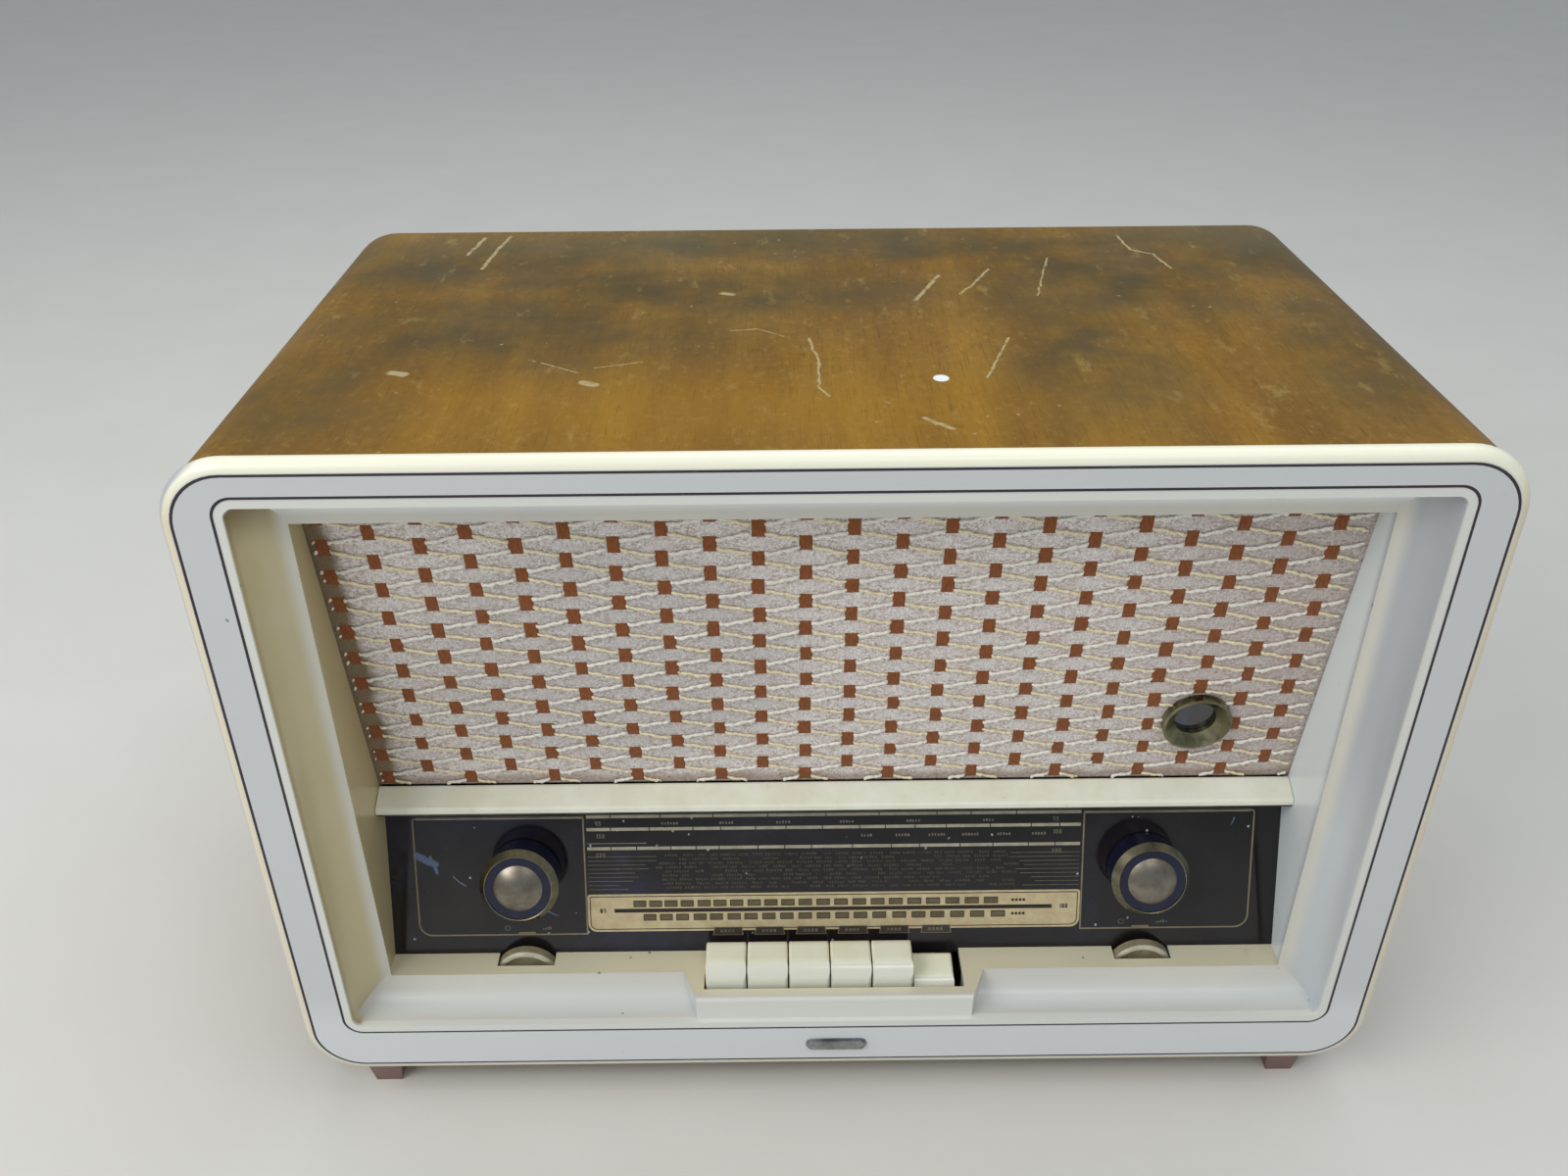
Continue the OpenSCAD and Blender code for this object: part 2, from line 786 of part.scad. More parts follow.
// Two side cheeks standing on the chassis
module capacitor_bracket() {
  half = 24;
  low = drum_v - 29;
  near = gang_y0 + 4;
  far = gang_y0 + gang_len - 2;
  near_y = dial_y + near * cos(dial_lean) + low * sin(dial_lean);
  near_z = dial_z - near * sin(dial_lean) + low * cos(dial_lean);
  far_y = dial_y + far * cos(dial_lean) + low * sin(dial_lean);
  far_z = dial_z - far * sin(dial_lean) + low * cos(dial_lean);
  for (x = [drum_x - half, drum_x + half - 2]) along_x(x, x + 2)
    polygon([[chassis_y0 + 2, chassis_z], [far_y + 6, chassis_z], [far_y, far_z + 0.6],
      [near_y, near_z + 0.6]]);
}

// ---- tone wheels ----

module at_wheel(side) {
  in_frame() translate([side * wheel_x, 0, wheel_z]) children();
}

module tone_wheel() {
  rim_r = 1;
  r = wheel_d / 2;
  translate([0, wheel_y, 0]) along_y() rotate_extrude() polygon([[0, 1.2], [r - 3.4, 1.2],
    [r - 2.6, 0], [r - rim_r, 0], [r, rim_r], [r, wheel_t - rim_r], [r - rim_r, wheel_t],
    [0, wheel_t]]);
  rod_y(shaft_d / 2, wheel_y + wheel_t - 1, 50);
}

module tone_control() {
  y0 = 39.5;
  difference() {
    union() {
      rod_y(pot_r, y0 + sheet_t, y0 + sheet_t + 12);
      translate([-pot_r, y0, floor_z - wheel_z]) cube([2 * pot_r, sheet_t, wheel_z - floor_z + 7]);
      translate([-pot_r, y0, floor_z - wheel_z]) cube([2 * pot_r, 20, sheet_t]);
    }
    rod_y(shaft_d / 2 + run_gap, y0 - 1, y0 + sheet_t + 10.5);
  }
}

module bass_wheel() {
  color("darkkhaki") at_wheel(-1) tone_wheel();
}

module treble_wheel() {
  color("darkkhaki") at_wheel(1) tone_wheel();
}

module bass_control() {
  color("dimgray") at_wheel(-1) tone_control();
}

module treble_control() {
  color("dimgray") at_wheel(1) tone_control();
}

// ---- piano keys ----

module key_side() {
  union() {
    difference() {
      translate([key_y0, key_z0]) square([key_y1 - key_y0, key_z1 - key_z0]);
      translate([key_y0 - 1, key_z1 - key_round])
        square([key_round + 1, key_round + 1]);
      translate([key_y1 - 1.5, key_z1 - 1.5]) square([2, 2]);
    }
    translate([key_y0 + key_round, key_z1 - key_round]) circle(key_round);
    translate([key_y1 - 1.5, key_z1 - 1.5]) circle(1.5);
  }
}

module key_cap(width) {
  intersection() {
    along_x(-width / 2, width / 2) key_side();
    linear_extrude(100) rounded_rect(-width / 2, width / 2, key_y0, key_y1, 1.8);
    back_y(0, 60) translate([-width / 2, 0]) union() {
      square([width, key_z1 - 1.5]);
      translate([1.5, key_z1 - 2]) square([width - 3, 2]);
      for (x = [1.5, width - 1.5]) translate([x, key_z1 - 1.5]) circle(1.5);
    }
  }
}

// Key with its lever, at rest when it is not pushed in
module key_and_lever() {
  width = key_pitch - key_gap;
  lever_w = 8;
  hub_r = rod_d / 2 + 2.8;
  key_cap(width);
  difference() {
    union() {
      along_x(-lever_w / 2, lever_w / 2) polygon([[key_y1 - 12, 36], [key_y1 + 1, 35.5],
        [74, 35.5], [pivot_y + 2, pivot_z - hub_r + 0.4], [pivot_y - 3, pivot_z + 3], [70, 42.6],
        [key_y1 - 1, 42.6], [key_y1 - 12, 43]]);
      translate([0, pivot_y, pivot_z]) rod_x(hub_r, -lever_w / 2, lever_w / 2);
    }
    translate([0, pivot_y, pivot_z]) rod_x(rod_d / 2 + run_gap, -lever_w, lever_w);
  }
}

module key(n) {
  x = key_x0 + (n - 0.5) * key_pitch;
  color("ivory") in_frame() translate([x, 0, 0]) key_and_lever();
}

// The last key rests pushed in
module key_pressed(n) {
  x = key_x0 + (n - 0.5) * key_pitch;
  color("ivory") in_frame() translate([x, pivot_y, pivot_z]) rotate([key_travel, 0, 0])
    translate([0, -pivot_y, -pivot_z]) key_and_lever();
}

module key_1() {
  key(1);
}

module key_2() {
  key(2);
}

module key_3() {
  key(3);
}

module key_4() {
  key(4);
}

module key_5() {
  key(5);
}

module key_6() {
  key_pressed(6);
}

module key_frame() {
  x0 = key_x0 - 4;
  x1 = key_x0 + 6 * key_pitch + 4;
  cheek_y0 = 78;
  cheek_y1 = 108;
  color("lightgray") in_frame() difference() {
    union() {
      for (x = [x0, x1 - 2]) translate([x, cheek_y0, floor_z])
        cube([2, cheek_y1 - cheek_y0, pivot_z + 7 - floor_z]);
      translate([x0, cheek_y0, floor_z]) cube([x1 - x0, cheek_y1 - cheek_y0, 2]);
      translate([x0, cheek_y1 - 2, floor_z]) cube([x1 - x0, 2, pivot_z + 7 - floor_z]);
      translate([x0 + 3, cheek_y0 + 2, floor_z + 1]) cube([x1 - x0 - 6, 20, 10]);
    }
    translate([0, pivot_y, pivot_z]) rod_x(rod_d / 2, x0 - 1, x1 + 1);
  }
}

module key_rod() {
  color("silver") in_frame() translate([0, pivot_y, pivot_z])
    rod_x(rod_d / 2, key_x0 - 5, key_x0 + 6 * key_pitch + 5);
}

// ---- loudspeaker ----

basket_depth = 46;
magnet_r = 32;

module at_speaker() {
  in_cloth() translate([speaker_x, cloth_t + baffle_t, speaker_v]) children();
}

module oval(w, h, y, t) {
  back_y(y, y + t) stadium(w, h, $fn = 32);
}

module speaker_basket() {
  wide = speaker_w + 28;
  tall = speaker_h + 14;
  color("gray") at_speaker() difference() {
    union() {
      oval(wide, tall, 0, 2);
      hull() {
        oval(speaker_w + 4, speaker_h + 2, 1, 1);
        rod_y(magnet_r - 4, basket_depth - 1, basket_depth, $fn = 32);
      }
    }
    hull() {
      oval(speaker_w, speaker_h - 2, -1, 1);
      rod_y(magnet_r - 6, basket_depth - 3, basket_depth - 2, $fn = 32);
    }
    rod_y(16, basket_depth - 4, basket_depth + 1);
    for (s = [0 : 3]) rotate([0, 45 + 90 * s, 0]) translate([50, 24, 0])
      cube([60, 18, 30], center = true);
  }
}

module speaker_cone() {
  wall = 1.2;
  color("dimgray") at_speaker() difference() {
    hull() {
      oval(speaker_w - 18, speaker_h - 18, 2.2, 1);
      rod_y(15, basket_depth - 8, basket_depth - 7, $fn = 32);
    }
    hull() {
      oval(speaker_w - 20, speaker_h - 20, 0, 2.2);
      rod_y(15 - wall, basket_depth - 9.5, basket_depth - 8.4, $fn = 32);
    }
  }
}

module speaker_magnet() {
  color("slategray") at_speaker() {
    rod_y(magnet_r, basket_depth, basket_depth + 24);
    rod_y(magnet_r - 8, basket_depth + 24, basket_depth + 30);
    rod_y(12, basket_depth - 6.5, basket_depth);
  }
}

// ---- chassis and what stands on it ----

valve_places = [[-0.86, 0.25], [-0.56, 0.45], [-0.28, 0.6], [0.02, 0.62], [-0.86, 0.85]];
valve_r = 11;
valve_h = 46;
socket_wall = 1.5;
socket_h = 9;

function chassis_point(p) =
  [p[0] * chassis_half_w, chassis_y0 + p[1] * (chassis_y1 - chassis_y0)];

module on_chassis(p) {
  at = chassis_point(p);
  in_frame() translate([at[0], at[1], chassis_z]) children();
}

module chassis() {
  color("silver") {
    in_frame() difference() {
      union() {
        translate([-chassis_half_w, chassis_y0, chassis_z - sheet_t])
          cube([2 * chassis_half_w, chassis_y1 - chassis_y0, sheet_t]);
        for (y = [chassis_y0, chassis_y1 - sheet_t]) translate([-chassis_half_w, y, floor_z + 3])
          cube([2 * chassis_half_w, sheet_t, chassis_z - floor_z - 3]);
        for (x = [-1, 1]) {
          translate([x * (chassis_half_w - sheet_t / 2), (chassis_y0 + chassis_y1) / 2,
              (chassis_z + floor_z) / 2])
            cube([sheet_t, chassis_y1 - chassis_y0, chassis_z - floor_z], center = true);
          translate([x * (chassis_half_w + chassis_foot_w / 2 - sheet_t),
              (chassis_y0 + chassis_y1) / 2, floor_z + sheet_t / 2])
            cube([chassis_foot_w, chassis_y1 - chassis_y0, sheet_t], center = true);
        }
      }
      for (x = [-1, 1], y = chassis_bolt_y)
        translate([x * chassis_bolt_x, y, floor_z - 1]) cylinder(d = bolt_d, h = sheet_t + 2);
    }
    for (p = valve_places) on_chassis(p) difference() {
      translate([0, 0, -eps]) cylinder(r = valve_r + socket_wall, h = socket_h);
      translate([0, 0, 3]) cylinder(r = valve_r + 0.1, h = socket_h);
    }
  }
}

module valves() {
  bulb_r = valve_r - 0.2;
  tip_r = 1.8;
  tip_len = 14.5;
  color("lightcyan", 0.6) for (p = valve_places) on_chassis(p) translate([0, 0, 3.2]) {
    cylinder(r = bulb_r, h = valve_h);
    translate([0, 0, valve_h]) sphere(bulb_r);
    translate([0, 0, valve_h]) cylinder(r = tip_r, h = tip_len);
  }
}

// Mains transformer: a shell core with two windows, and a coil through both
transformer_at = [0.72, 0.68];
core_w = 76;
core_t = 60;
core_h = 64;
window_x = 10;
window_w = 12;
window_z = 12;
window_h = 40;
coil_gap = 0.4;
coil_over = 12;

module transformer_core() {
  color("dimgray") on_chassis(transformer_at) difference() {
    translate([-core_w / 2, -core_t / 2, 0]) cube([core_w, core_t, core_h]);
    for (x = [-window_x - window_w, window_x]) translate([x, -core_t / 2 - 1, window_z])
      cube([window_w, core_t + 2, window_h]);
  }
}

module transformer_coil() {
  half_w = window_x + window_w - coil_gap;
  half_t = core_t / 2 + coil_over;
  leg = window_x + coil_gap;
  color("peru") on_chassis(transformer_at) difference() {
    translate([-half_w, -half_t, window_z + coil_gap])
      cube([2 * half_w, 2 * half_t, window_h - 2 * coil_gap]);
    translate([-leg, -core_t / 2 - coil_gap, window_z])
      cube([2 * leg, core_t + 2 * coil_gap, window_h]);
  }
}

module output_transformer() {
  core = [44, 20, 38];
  coil = [26, 36, 22];
  color("slategray") on_chassis([-0.62, 0.86]) {
    translate([-core[0] / 2, -core[1] / 2, 0]) cube(core);
    translate([-coil[0] / 2, -coil[1] / 2, (core[2] - coil[2]) / 2]) cube(coil);
  }
}

can_place = [0.3, 0.8];
can_r = 17.5;
can_flange_r = can_r + 2.5;
can_h = 72;

module smoothing_can() {
  color("silver") on_chassis(can_place) {
    cylinder(r = can_r, h = can_h);
    cylinder(r = can_flange_r, h = 3);
    translate([0, 0, can_h]) cylinder(r = can_r - 2.5, h = 1.5);
  }
}

module rectifier() {
  foot = [60, 12, 4];
  stack = [50, 10, 42];
  color("darkred") on_chassis([0.03, 0.93]) {
    translate([-foot[0] / 2, -foot[1] / 2, 0]) cube(foot);
    translate([-stack[0] / 2, -stack[1] / 2, foot[2]]) cube(stack);
  }
}

module fm_tuner() {
  box_w = 52;
  box_h = 46;
  trimmer_r = 4;
  trimmer_h = 6;
  color("silver") on_chassis([0.78, 0.187]) {
    translate([-box_w / 2, -box_w / 2, 0]) cube([box_w, box_w, box_h]);
    for (x = [-6, 10]) translate([x, 0, box_h]) cylinder(r = trimmer_r, h = trimmer_h);
  }
}

module if_cans() {
  box_w = 22;
  box_h = 52;
  core_r = 4;
  color("lightgray") for (p = [[-0.72, 0.5], [-0.42, 0.7], [-0.1, 0.3]]) on_chassis(p) {
    translate([-box_w / 2, -box_w / 2, 0]) cube([box_w, box_w, box_h]);
    translate([0, 0, box_h]) cylinder(r = core_r, h = 2);
  }
}

// A ferrite rod with two coils, over the smoothing can, on a post at each end
module ferrite_antenna() {
  rod_r = 5;
  rod_len = 180;
  coil_r = 8;
  coil_len = 36;
  coil_in = 30;
  post_t = 10;
  post_w = 14;
  post_in = 2;
  can_gap = 15;
  y = chassis_y1 - 16;
  lift = can_h + 40;
  x1 = chassis_point(can_place)[0] + can_flange_r + can_gap + post_t + post_in;
  x0 = x1 - rod_len;
  color("darkslategray") in_frame() translate([0, y, chassis_z]) {
    translate([0, 0, lift]) {
      rod_x(rod_r, x0, x1);
      for (x = [x0 + coil_in, x1 - coil_in - coil_len]) rod_x(coil_r, x, x + coil_len);
    }
    for (x = [x0 + post_in, x1 - post_in - post_t]) translate([x, -post_w / 2, 0]) difference() {
      cube([post_t, post_w, lift + post_w / 2]);
      translate([0, post_w / 2, lift]) rod_x(rod_r, -1, post_t + 1);
    }
  }
}

// ---- back ----

socket_z = 36;
socket_r = 2.05;
socket_pitch = 19;
socket_in = 12;
socket_depth = 12;
strip_x = -chassis_half_w + 14;
strip_len = 120;
strip_h = 24;
strip_gap = 4;

module rear_sockets() {
  back = cover_y - 1;
  color("maroon") in_frame() difference() {
    translate([strip_x, chassis_y1, socket_z - strip_h / 2])
      cube([strip_len, back - chassis_y1, strip_h]);
    for (n = [0 : 5]) translate([strip_x + socket_in + n * socket_pitch, 0, socket_z])
      rod_y(socket_r, back - socket_depth, back + 1);
  }
}

gland_r = 4;
groove_r = 6;

// Grommet with a groove that holds the cover's sheet
module mains_grommet() {
  flange_r = 8;
  half_len = 4.5;
  half_groove = cover_t / 2;
  color("black") in_frame() translate([grommet_x, cover_y + cover_t / 2, grommet_z])
    along_y() rotate_extrude() polygon([[gland_r, -half_len], [flange_r, -half_len],
      [flange_r, -half_groove], [groove_r, -half_groove], [groove_r, half_groove],
      [flange_r, half_groove], [flange_r, half_len], [gland_r, half_len]]);
}

vent_pitch = bezel_w / 7;
vent_len = vent_pitch - 16;
vent_rise = 20;
vent_w = 5;

module back_cover() {
  color("sienna") in_frame() difference() {
    back_y(cover_y, cover_y + cover_t) cabinet_outline(wall_t + 0.5, corner_r - wall_t - 0.5);
    translate([grommet_x, 0, grommet_z]) rod_y(groove_r, cover_y - 1, cover_y + cover_t + 1);
    translate([strip_x - strip_gap, cover_y - 1, socket_z - strip_h / 2 - strip_gap])
      cube([strip_len + 2 * strip_gap, cover_t + 2, strip_h + 2 * strip_gap]);
    for (row = [0 : 5], n = [-2 : 2])
      translate([n * vent_pitch - vent_len / 2, cover_y - 1, bezel_h / 2 + row * vent_rise])
        cube([vent_len, cover_t + 2, vent_w]);
    cover_screw_places() rod_y(cover_hole_r, cover_y - 1, cover_y + cover_t + 1);
  }
}

module cover_screw_places() {
  for (x = [-1, 1], z = [floor_z + batten / 2, ceiling_z - batten / 2])
    translate([x * (inner_half_w - batten_len), 0, z]) children();
  for (x = [-1, 1]) translate([x * (inner_half_w - batten / 2), 0, bezel_h / 2]) children();
}

module back_cover_screws() {
  color("darkgoldenrod") in_frame() cover_screw_places() difference() {
    union() {
      rod_y(cover_screw_r, cover_y - batten + 2, cover_y + cover_t);
      rod_y(screw_head_r, cover_y + cover_t, cover_y + cover_t + screw_head_t);
    }
    translate([-screw_head_r - 1, cover_y + cover_t + screw_head_t - slot_depth, -slot_w / 2])
      cube([2 * screw_head_r + 2, slot_depth + 1, slot_w]);
  }
}

// ---- feet ----

module foot_side() {
  taper = 0.7;
  low = foot_w * taper;
  polygon([[-low / 2, 0], [low / 2, 0], [foot_w / 2, foot_h + side_in],
    [-foot_w / 2, foot_h + side_in]]);
}

module foot() {
  difference() {
    intersection() {
      along_x(-foot_w, foot_w) foot_side();
      back_y(-foot_w, foot_w) foot_side();
    }
    translate([0, 0, -1]) cylinder(d = foot_recess_d, h = foot_recess + 1);
    cylinder(d = bolt_d, h = 2 * foot_h);
  }
}

module at_feet() {
  for (x = [-foot_x, foot_x], y = [foot_y0, foot_y1]) translate([x, front_y + y, 0]) children();
}

module feet() {
  color("rosybrown") at_feet() foot();
}

module bolt(z_head, len) {
  translate([0, 0, z_head]) cylinder(d = bolt_head_d, h = bolt_head_t);
  translate([0, 0, z_head + bolt_head_t - eps]) cylinder(d = bolt_d, h = len);
}

module floor_bolts() {
  floor_top = foot_h + floor_z;
  color("silver") {
    at_feet() {
      bolt(foot_recess - bolt_head_t, floor_top - foot_recess + 1);
      translate([0, 0, floor_top]) difference() {
        cylinder(d = bolt_head_d, h = nut_t, $fn = 6);
        cylinder(d = bolt_d - 0.5, h = nut_t - 0.2);
      }
    }
    for (x = [-1, 1], y = chassis_bolt_y) translate([x * chassis_bolt_x, front_y + y, 0])
      bolt(foot_h + side_in - bolt_head_t, wall_t + 5);
  }
}

cabinet();
bezel();
bezel_lines();
badge_bar();
ledge_bar();
ledge_trim();
baffle();
speaker_cloth();
dial_glass();
dial_plate();
pointer_rail();
pointer();
dial_lamps();
eye_ring();
eye_tube();
volume_knob_body();
volume_knob_band();
volume_knob_cap();
volume_shaft();
volume_control();
tuning_knob_body();
tuning_knob_band();
tuning_knob_cap();
tuning_spindle();
tuning_flywheel();
dial_drum();
dial_cord();
capacitor_rotor();
capacitor_frame();
bass_wheel();
treble_wheel();
bass_control();
treble_control();
key_1();
key_2();
key_3();
key_4();
key_5();
key_6();
key_frame();
key_rod();
speaker_basket();
speaker_cone();
speaker_magnet();
chassis();
transformer_core();
transformer_coil();
output_transformer();
valves();
smoothing_can();
rectifier();
fm_tuner();
if_cans();
ferrite_antenna();
rear_sockets();
mains_grommet();
back_cover();
back_cover_screws();
feet();
floor_bolts();
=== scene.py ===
"""Looks of a 1950s tabletop valve radio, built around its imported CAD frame."""
import math
import random
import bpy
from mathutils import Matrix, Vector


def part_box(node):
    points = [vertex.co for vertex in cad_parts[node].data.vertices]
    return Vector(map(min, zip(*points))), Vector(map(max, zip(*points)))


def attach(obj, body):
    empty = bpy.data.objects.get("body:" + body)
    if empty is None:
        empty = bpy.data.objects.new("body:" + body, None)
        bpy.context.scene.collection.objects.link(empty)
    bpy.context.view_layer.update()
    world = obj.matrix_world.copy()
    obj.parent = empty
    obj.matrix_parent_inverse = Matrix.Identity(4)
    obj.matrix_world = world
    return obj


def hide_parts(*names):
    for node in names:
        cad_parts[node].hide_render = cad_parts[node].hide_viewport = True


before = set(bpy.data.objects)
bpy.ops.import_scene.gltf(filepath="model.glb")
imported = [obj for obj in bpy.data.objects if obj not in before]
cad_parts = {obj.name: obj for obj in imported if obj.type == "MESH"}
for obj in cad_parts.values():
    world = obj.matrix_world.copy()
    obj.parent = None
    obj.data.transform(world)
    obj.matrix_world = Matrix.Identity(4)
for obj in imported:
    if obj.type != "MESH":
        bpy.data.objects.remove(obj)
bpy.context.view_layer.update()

from types import SimpleNamespace

import bmesh
import bpy
from mathutils import Matrix, Vector

MM = 0.001

# Sizes are in millimetres in the face's frame: x from the middle, y back from the bezel's face,
# z up from the bezel's foot.
FACE_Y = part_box("bezel")[0].y
FOOT_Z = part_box("bezel")[0].z
BEZEL_H = (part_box("bezel")[1].z - FOOT_Z) / MM
BEZEL_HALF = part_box("bezel")[1].x / MM
CABINET_TOP = (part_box("cabinet")[1].z - FOOT_Z) / MM
# The two inlaid lines of the bezel: their distances from its edges, and the radius of their corners.
OUTER_LINE, OUTER_R = 5.9, 23
INNER_SIDE, INNER_TOP, INNER_LOW, INNER_R = 22.3, 15.6, 29.3, 9
# The foot of the dial glass and of the cloth, and how far each leans back.
DIAL_Y, DIAL_Z = 35.8, 48.0
DIAL_LEAN = math.radians(19.4)
CLOTH_Y, CLOTH_Z = 61.9, 139.2
CLOTH_LEAN = math.radians(8.3)


def at(x, y, z):
    """A point of the face's frame, in metres in the row frame."""
    return Vector((x * MM, FACE_Y + y * MM, FOOT_Z + z * MM))


def behind(y):
    """Row-frame y of a depth behind the bezel's face."""
    return FACE_Y + y * MM


def above(z):
    """Row-frame z of a height above the bezel's foot."""
    return FOOT_Z + z * MM


# The side walls of the moulding take their painted shade (left, over yellowed plastic) and painted light
# (right) between these distances from the middle.
WALL_FROM, WALL_FULL = BEZEL_HALF - 15, BEZEL_HALF - 20
# The flat step behind the cove begins between these depths.
STEP_BEHIND = behind(22), behind(29)


def dial_matrix():
    """Local X along the glass, Y up it, Z out of it towards the front; millimetres become metres."""
    turn = Matrix.Rotation(math.pi / 2 - DIAL_LEAN, 4, "X")
    return Matrix.Translation(at(0, DIAL_Y, DIAL_Z)) @ turn


def cloth_matrix():
    """Local X along the cloth, Y up it, Z out of it towards the front."""
    turn = Matrix.Rotation(math.pi / 2 + CLOTH_LEAN, 4, "X")
    return Matrix.Translation(at(0, CLOTH_Y, CLOTH_Z)) @ turn


# -------- node materials

def colour(text):
    """A linear RGBA colour from an sRGB hex text."""
    out = []
    for i in (0, 2, 4):
        c = int(text[i:i + 2], 16) / 255
        out.append(c / 12.92 if c <= 0.04045 else ((c + 0.055) / 1.055) ** 2.4)
    return (*out, 1.0)


class Finish:
    """A material with one Principled shader, and short calls that add nodes to it."""

    def __init__(self, name, **values):
        self.material = bpy.data.materials.new(name)
        self.material.use_nodes = True
        self.tree = self.material.node_tree
        self.tree.nodes.clear()
        self.shader = self.tree.nodes.new("ShaderNodeBsdfPrincipled")
        out = self.tree.nodes.new("ShaderNodeOutputMaterial")
        self.tree.links.new(self.shader.outputs[0], out.inputs[0])
        coordinates = self.tree.nodes.new("ShaderNodeTexCoord").outputs
        self.place, self.facing = coordinates["Object"], coordinates["Normal"]
        for key, value in values.items():
            self.set(key, value)

    def feed(self, socket, value):
        """Links a socket's value, or writes a plain one or a hex colour."""
        if isinstance(value, bpy.types.NodeSocket):
            self.tree.links.new(value, socket)
        else:
            socket.default_value = colour(value) if isinstance(value, str) else value

    def set(self, key, value):
        self.feed(self.shader.inputs[key.replace("_", " ")], value)

    def tone(self, value):
        self.set("Base Color", value)

    def node(self, kind, out=0, settings=(), **inputs):
        """One output of a new node. Its inputs are given by name, or as i0, i1 and so on."""
        n = self.tree.nodes.new(kind)
        for key, value in dict(settings).items():
            setattr(n, key, value)
        for key, value in inputs.items():
            numbered = key[0] == "i" and key[1:].isdigit()
            self.feed(n.inputs[int(key[1:]) if numbered else key.replace("_", " ")], value)
        return n.outputs[out]

    def math(self, op, a, b=0.0, clamp=False):
        return self.node("ShaderNodeMath", settings={"operation": op, "use_clamp": clamp}, i0=a, i1=b)

    def both(self, a, b):
        """The product of two masks or values."""
        return self.math("MULTIPLY", a, b)

    def vector(self, op, a, b=(0, 0, 0), out=0):
        return self.node("ShaderNodeVectorMath", out, {"operation": op}, i0=a, i1=b)

    def stretched(self, x, y, z, turn=(0, 0, 0)):
        """The object's coordinates times x, y and z."""
        return self.node("ShaderNodeMapping", Vector=self.place, Scale=(x, y, z), Rotation=turn)

    def split(self, vector=None):
        n = self.tree.nodes.new("ShaderNodeSeparateXYZ")
        self.tree.links.new(vector or self.place, n.inputs[0])
        return n.outputs

    def noise(self, scale, detail=3.0, rough=0.5, vector=None, bend=0.0):
        return self.node("ShaderNodeTexNoise", Vector=vector or self.place, Scale=scale, Detail=detail,
                         Roughness=rough, Distortion=bend)

    def grain(self, scales, detail, rough, turn=(0, 0, 0)):
        """Noise with its own scale in each direction."""
        return self.noise(1.0, detail, rough, vector=self.stretched(*scales, turn))

    def spots(self, scale, vector=None):
        """Distance to the nearest point of a random scatter, in cells."""
        return self.node("ShaderNodeTexVoronoi", Vector=vector or self.place, Scale=scale)

    def step(self, value, low, high, to=(0.0, 1.0)):
        """0 at low and 1 at high, with a smooth way between them."""
        return self.node("ShaderNodeMapRange", settings={"interpolation_type": "SMOOTHSTEP", "clamp": True},
                         Value=value, From_Min=low, From_Max=high, To_Min=to[0], To_Max=to[1])

    def mix(self, fac, a, b):
        """Colour a where fac is 0 and b where it is 1."""
        n = self.tree.nodes.new("ShaderNodeMix")
        n.data_type = "RGBA"
        for socket, value in ((n.inputs[0], fac), (n.inputs[6], a), (n.inputs[7], b)):
            self.feed(socket, value)
        return n.outputs[2]

    def fade(self, value, a, b, low=0.35, high=0.7):
        """Colour a where value is low and b where it is high."""
        return self.mix(self.step(value, low, high), a, b)

    def tint(self, base, mask, strength, shade):
        """The base colour with part of another over it where the mask is 1."""
        return self.mix(self.both(mask, strength), base, shade)

    def relief(self, height, strength, depth):
        """Raises the surface by a height from 0 to 1 times a depth in millimetres."""
        self.set("Normal", self.node("ShaderNodeBump", Strength=strength, Distance=depth * MM, Height=height))

    def blob(self, centre, radii, soft=0.6, wobble=None):
        """1 inside an ellipsoid about a point of the row frame, 0 outside it."""
        shifted = self.vector("SUBTRACT", wobble or self.place, tuple(centre))
        scaled = self.vector("DIVIDE", shifted, tuple(r * MM for r in radii))
        return self.step(self.vector("LENGTH", scaled, out=1), 1 + soft, 1 - soft)

    def wobbled(self, scale, amount, detail=3.0):
        """The object's coordinates, pushed about by noise."""
        cloud = self.node("ShaderNodeTexNoise", "Color", Vector=self.place, Scale=scale, Detail=detail)
        centred = self.vector("SUBTRACT", cloud, (0.5, 0.5, 0.5))
        pushed = self.vector("MULTIPLY", centred, (2 * amount * MM,) * 3)
        return self.vector("ADD", self.place, pushed)

    def strokes(self, runs, place):
        """1 on thin strokes, each a width in millimetres and points of the row frame."""
        best = None
        for width, points in runs:
            for a, b in zip(points, points[1:]):
                along = b - a
                from_a = self.vector("SUBTRACT", place, tuple(a))
                share = self.math("DIVIDE", self.vector("DOT_PRODUCT", from_a, tuple(along), out=1),
                                  along.length_squared, clamp=True)
                reach = self.node("ShaderNodeVectorMath", settings={"operation": "SCALE"},
                                  i0=tuple(along), Scale=share)
                rest = self.vector("SUBTRACT", from_a, reach)
                far = self.math("DIVIDE", self.vector("LENGTH", rest, out=1), width * MM / 2)
                best = far if best is None else self.math("MINIMUM", best, far)
        return self.step(best, 1.3, 0.7)


def paint(finish, *names):
    """Gives a finish to CAD nodes, whose meshes stay as they are."""
    for name in names:
        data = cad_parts[name].data
        data.materials.clear()
        data.materials.append(finish.material)


# -------- camera, floor and light

CAMERA_AT = (-26.7, -461.8, 577.0)
CAMERA_YAW, CAMERA_PITCH, CAMERA_ROLL = -0.2477, 31.746, -0.4687
LENS_MM, SENSOR_MM = 30.863, 36.0


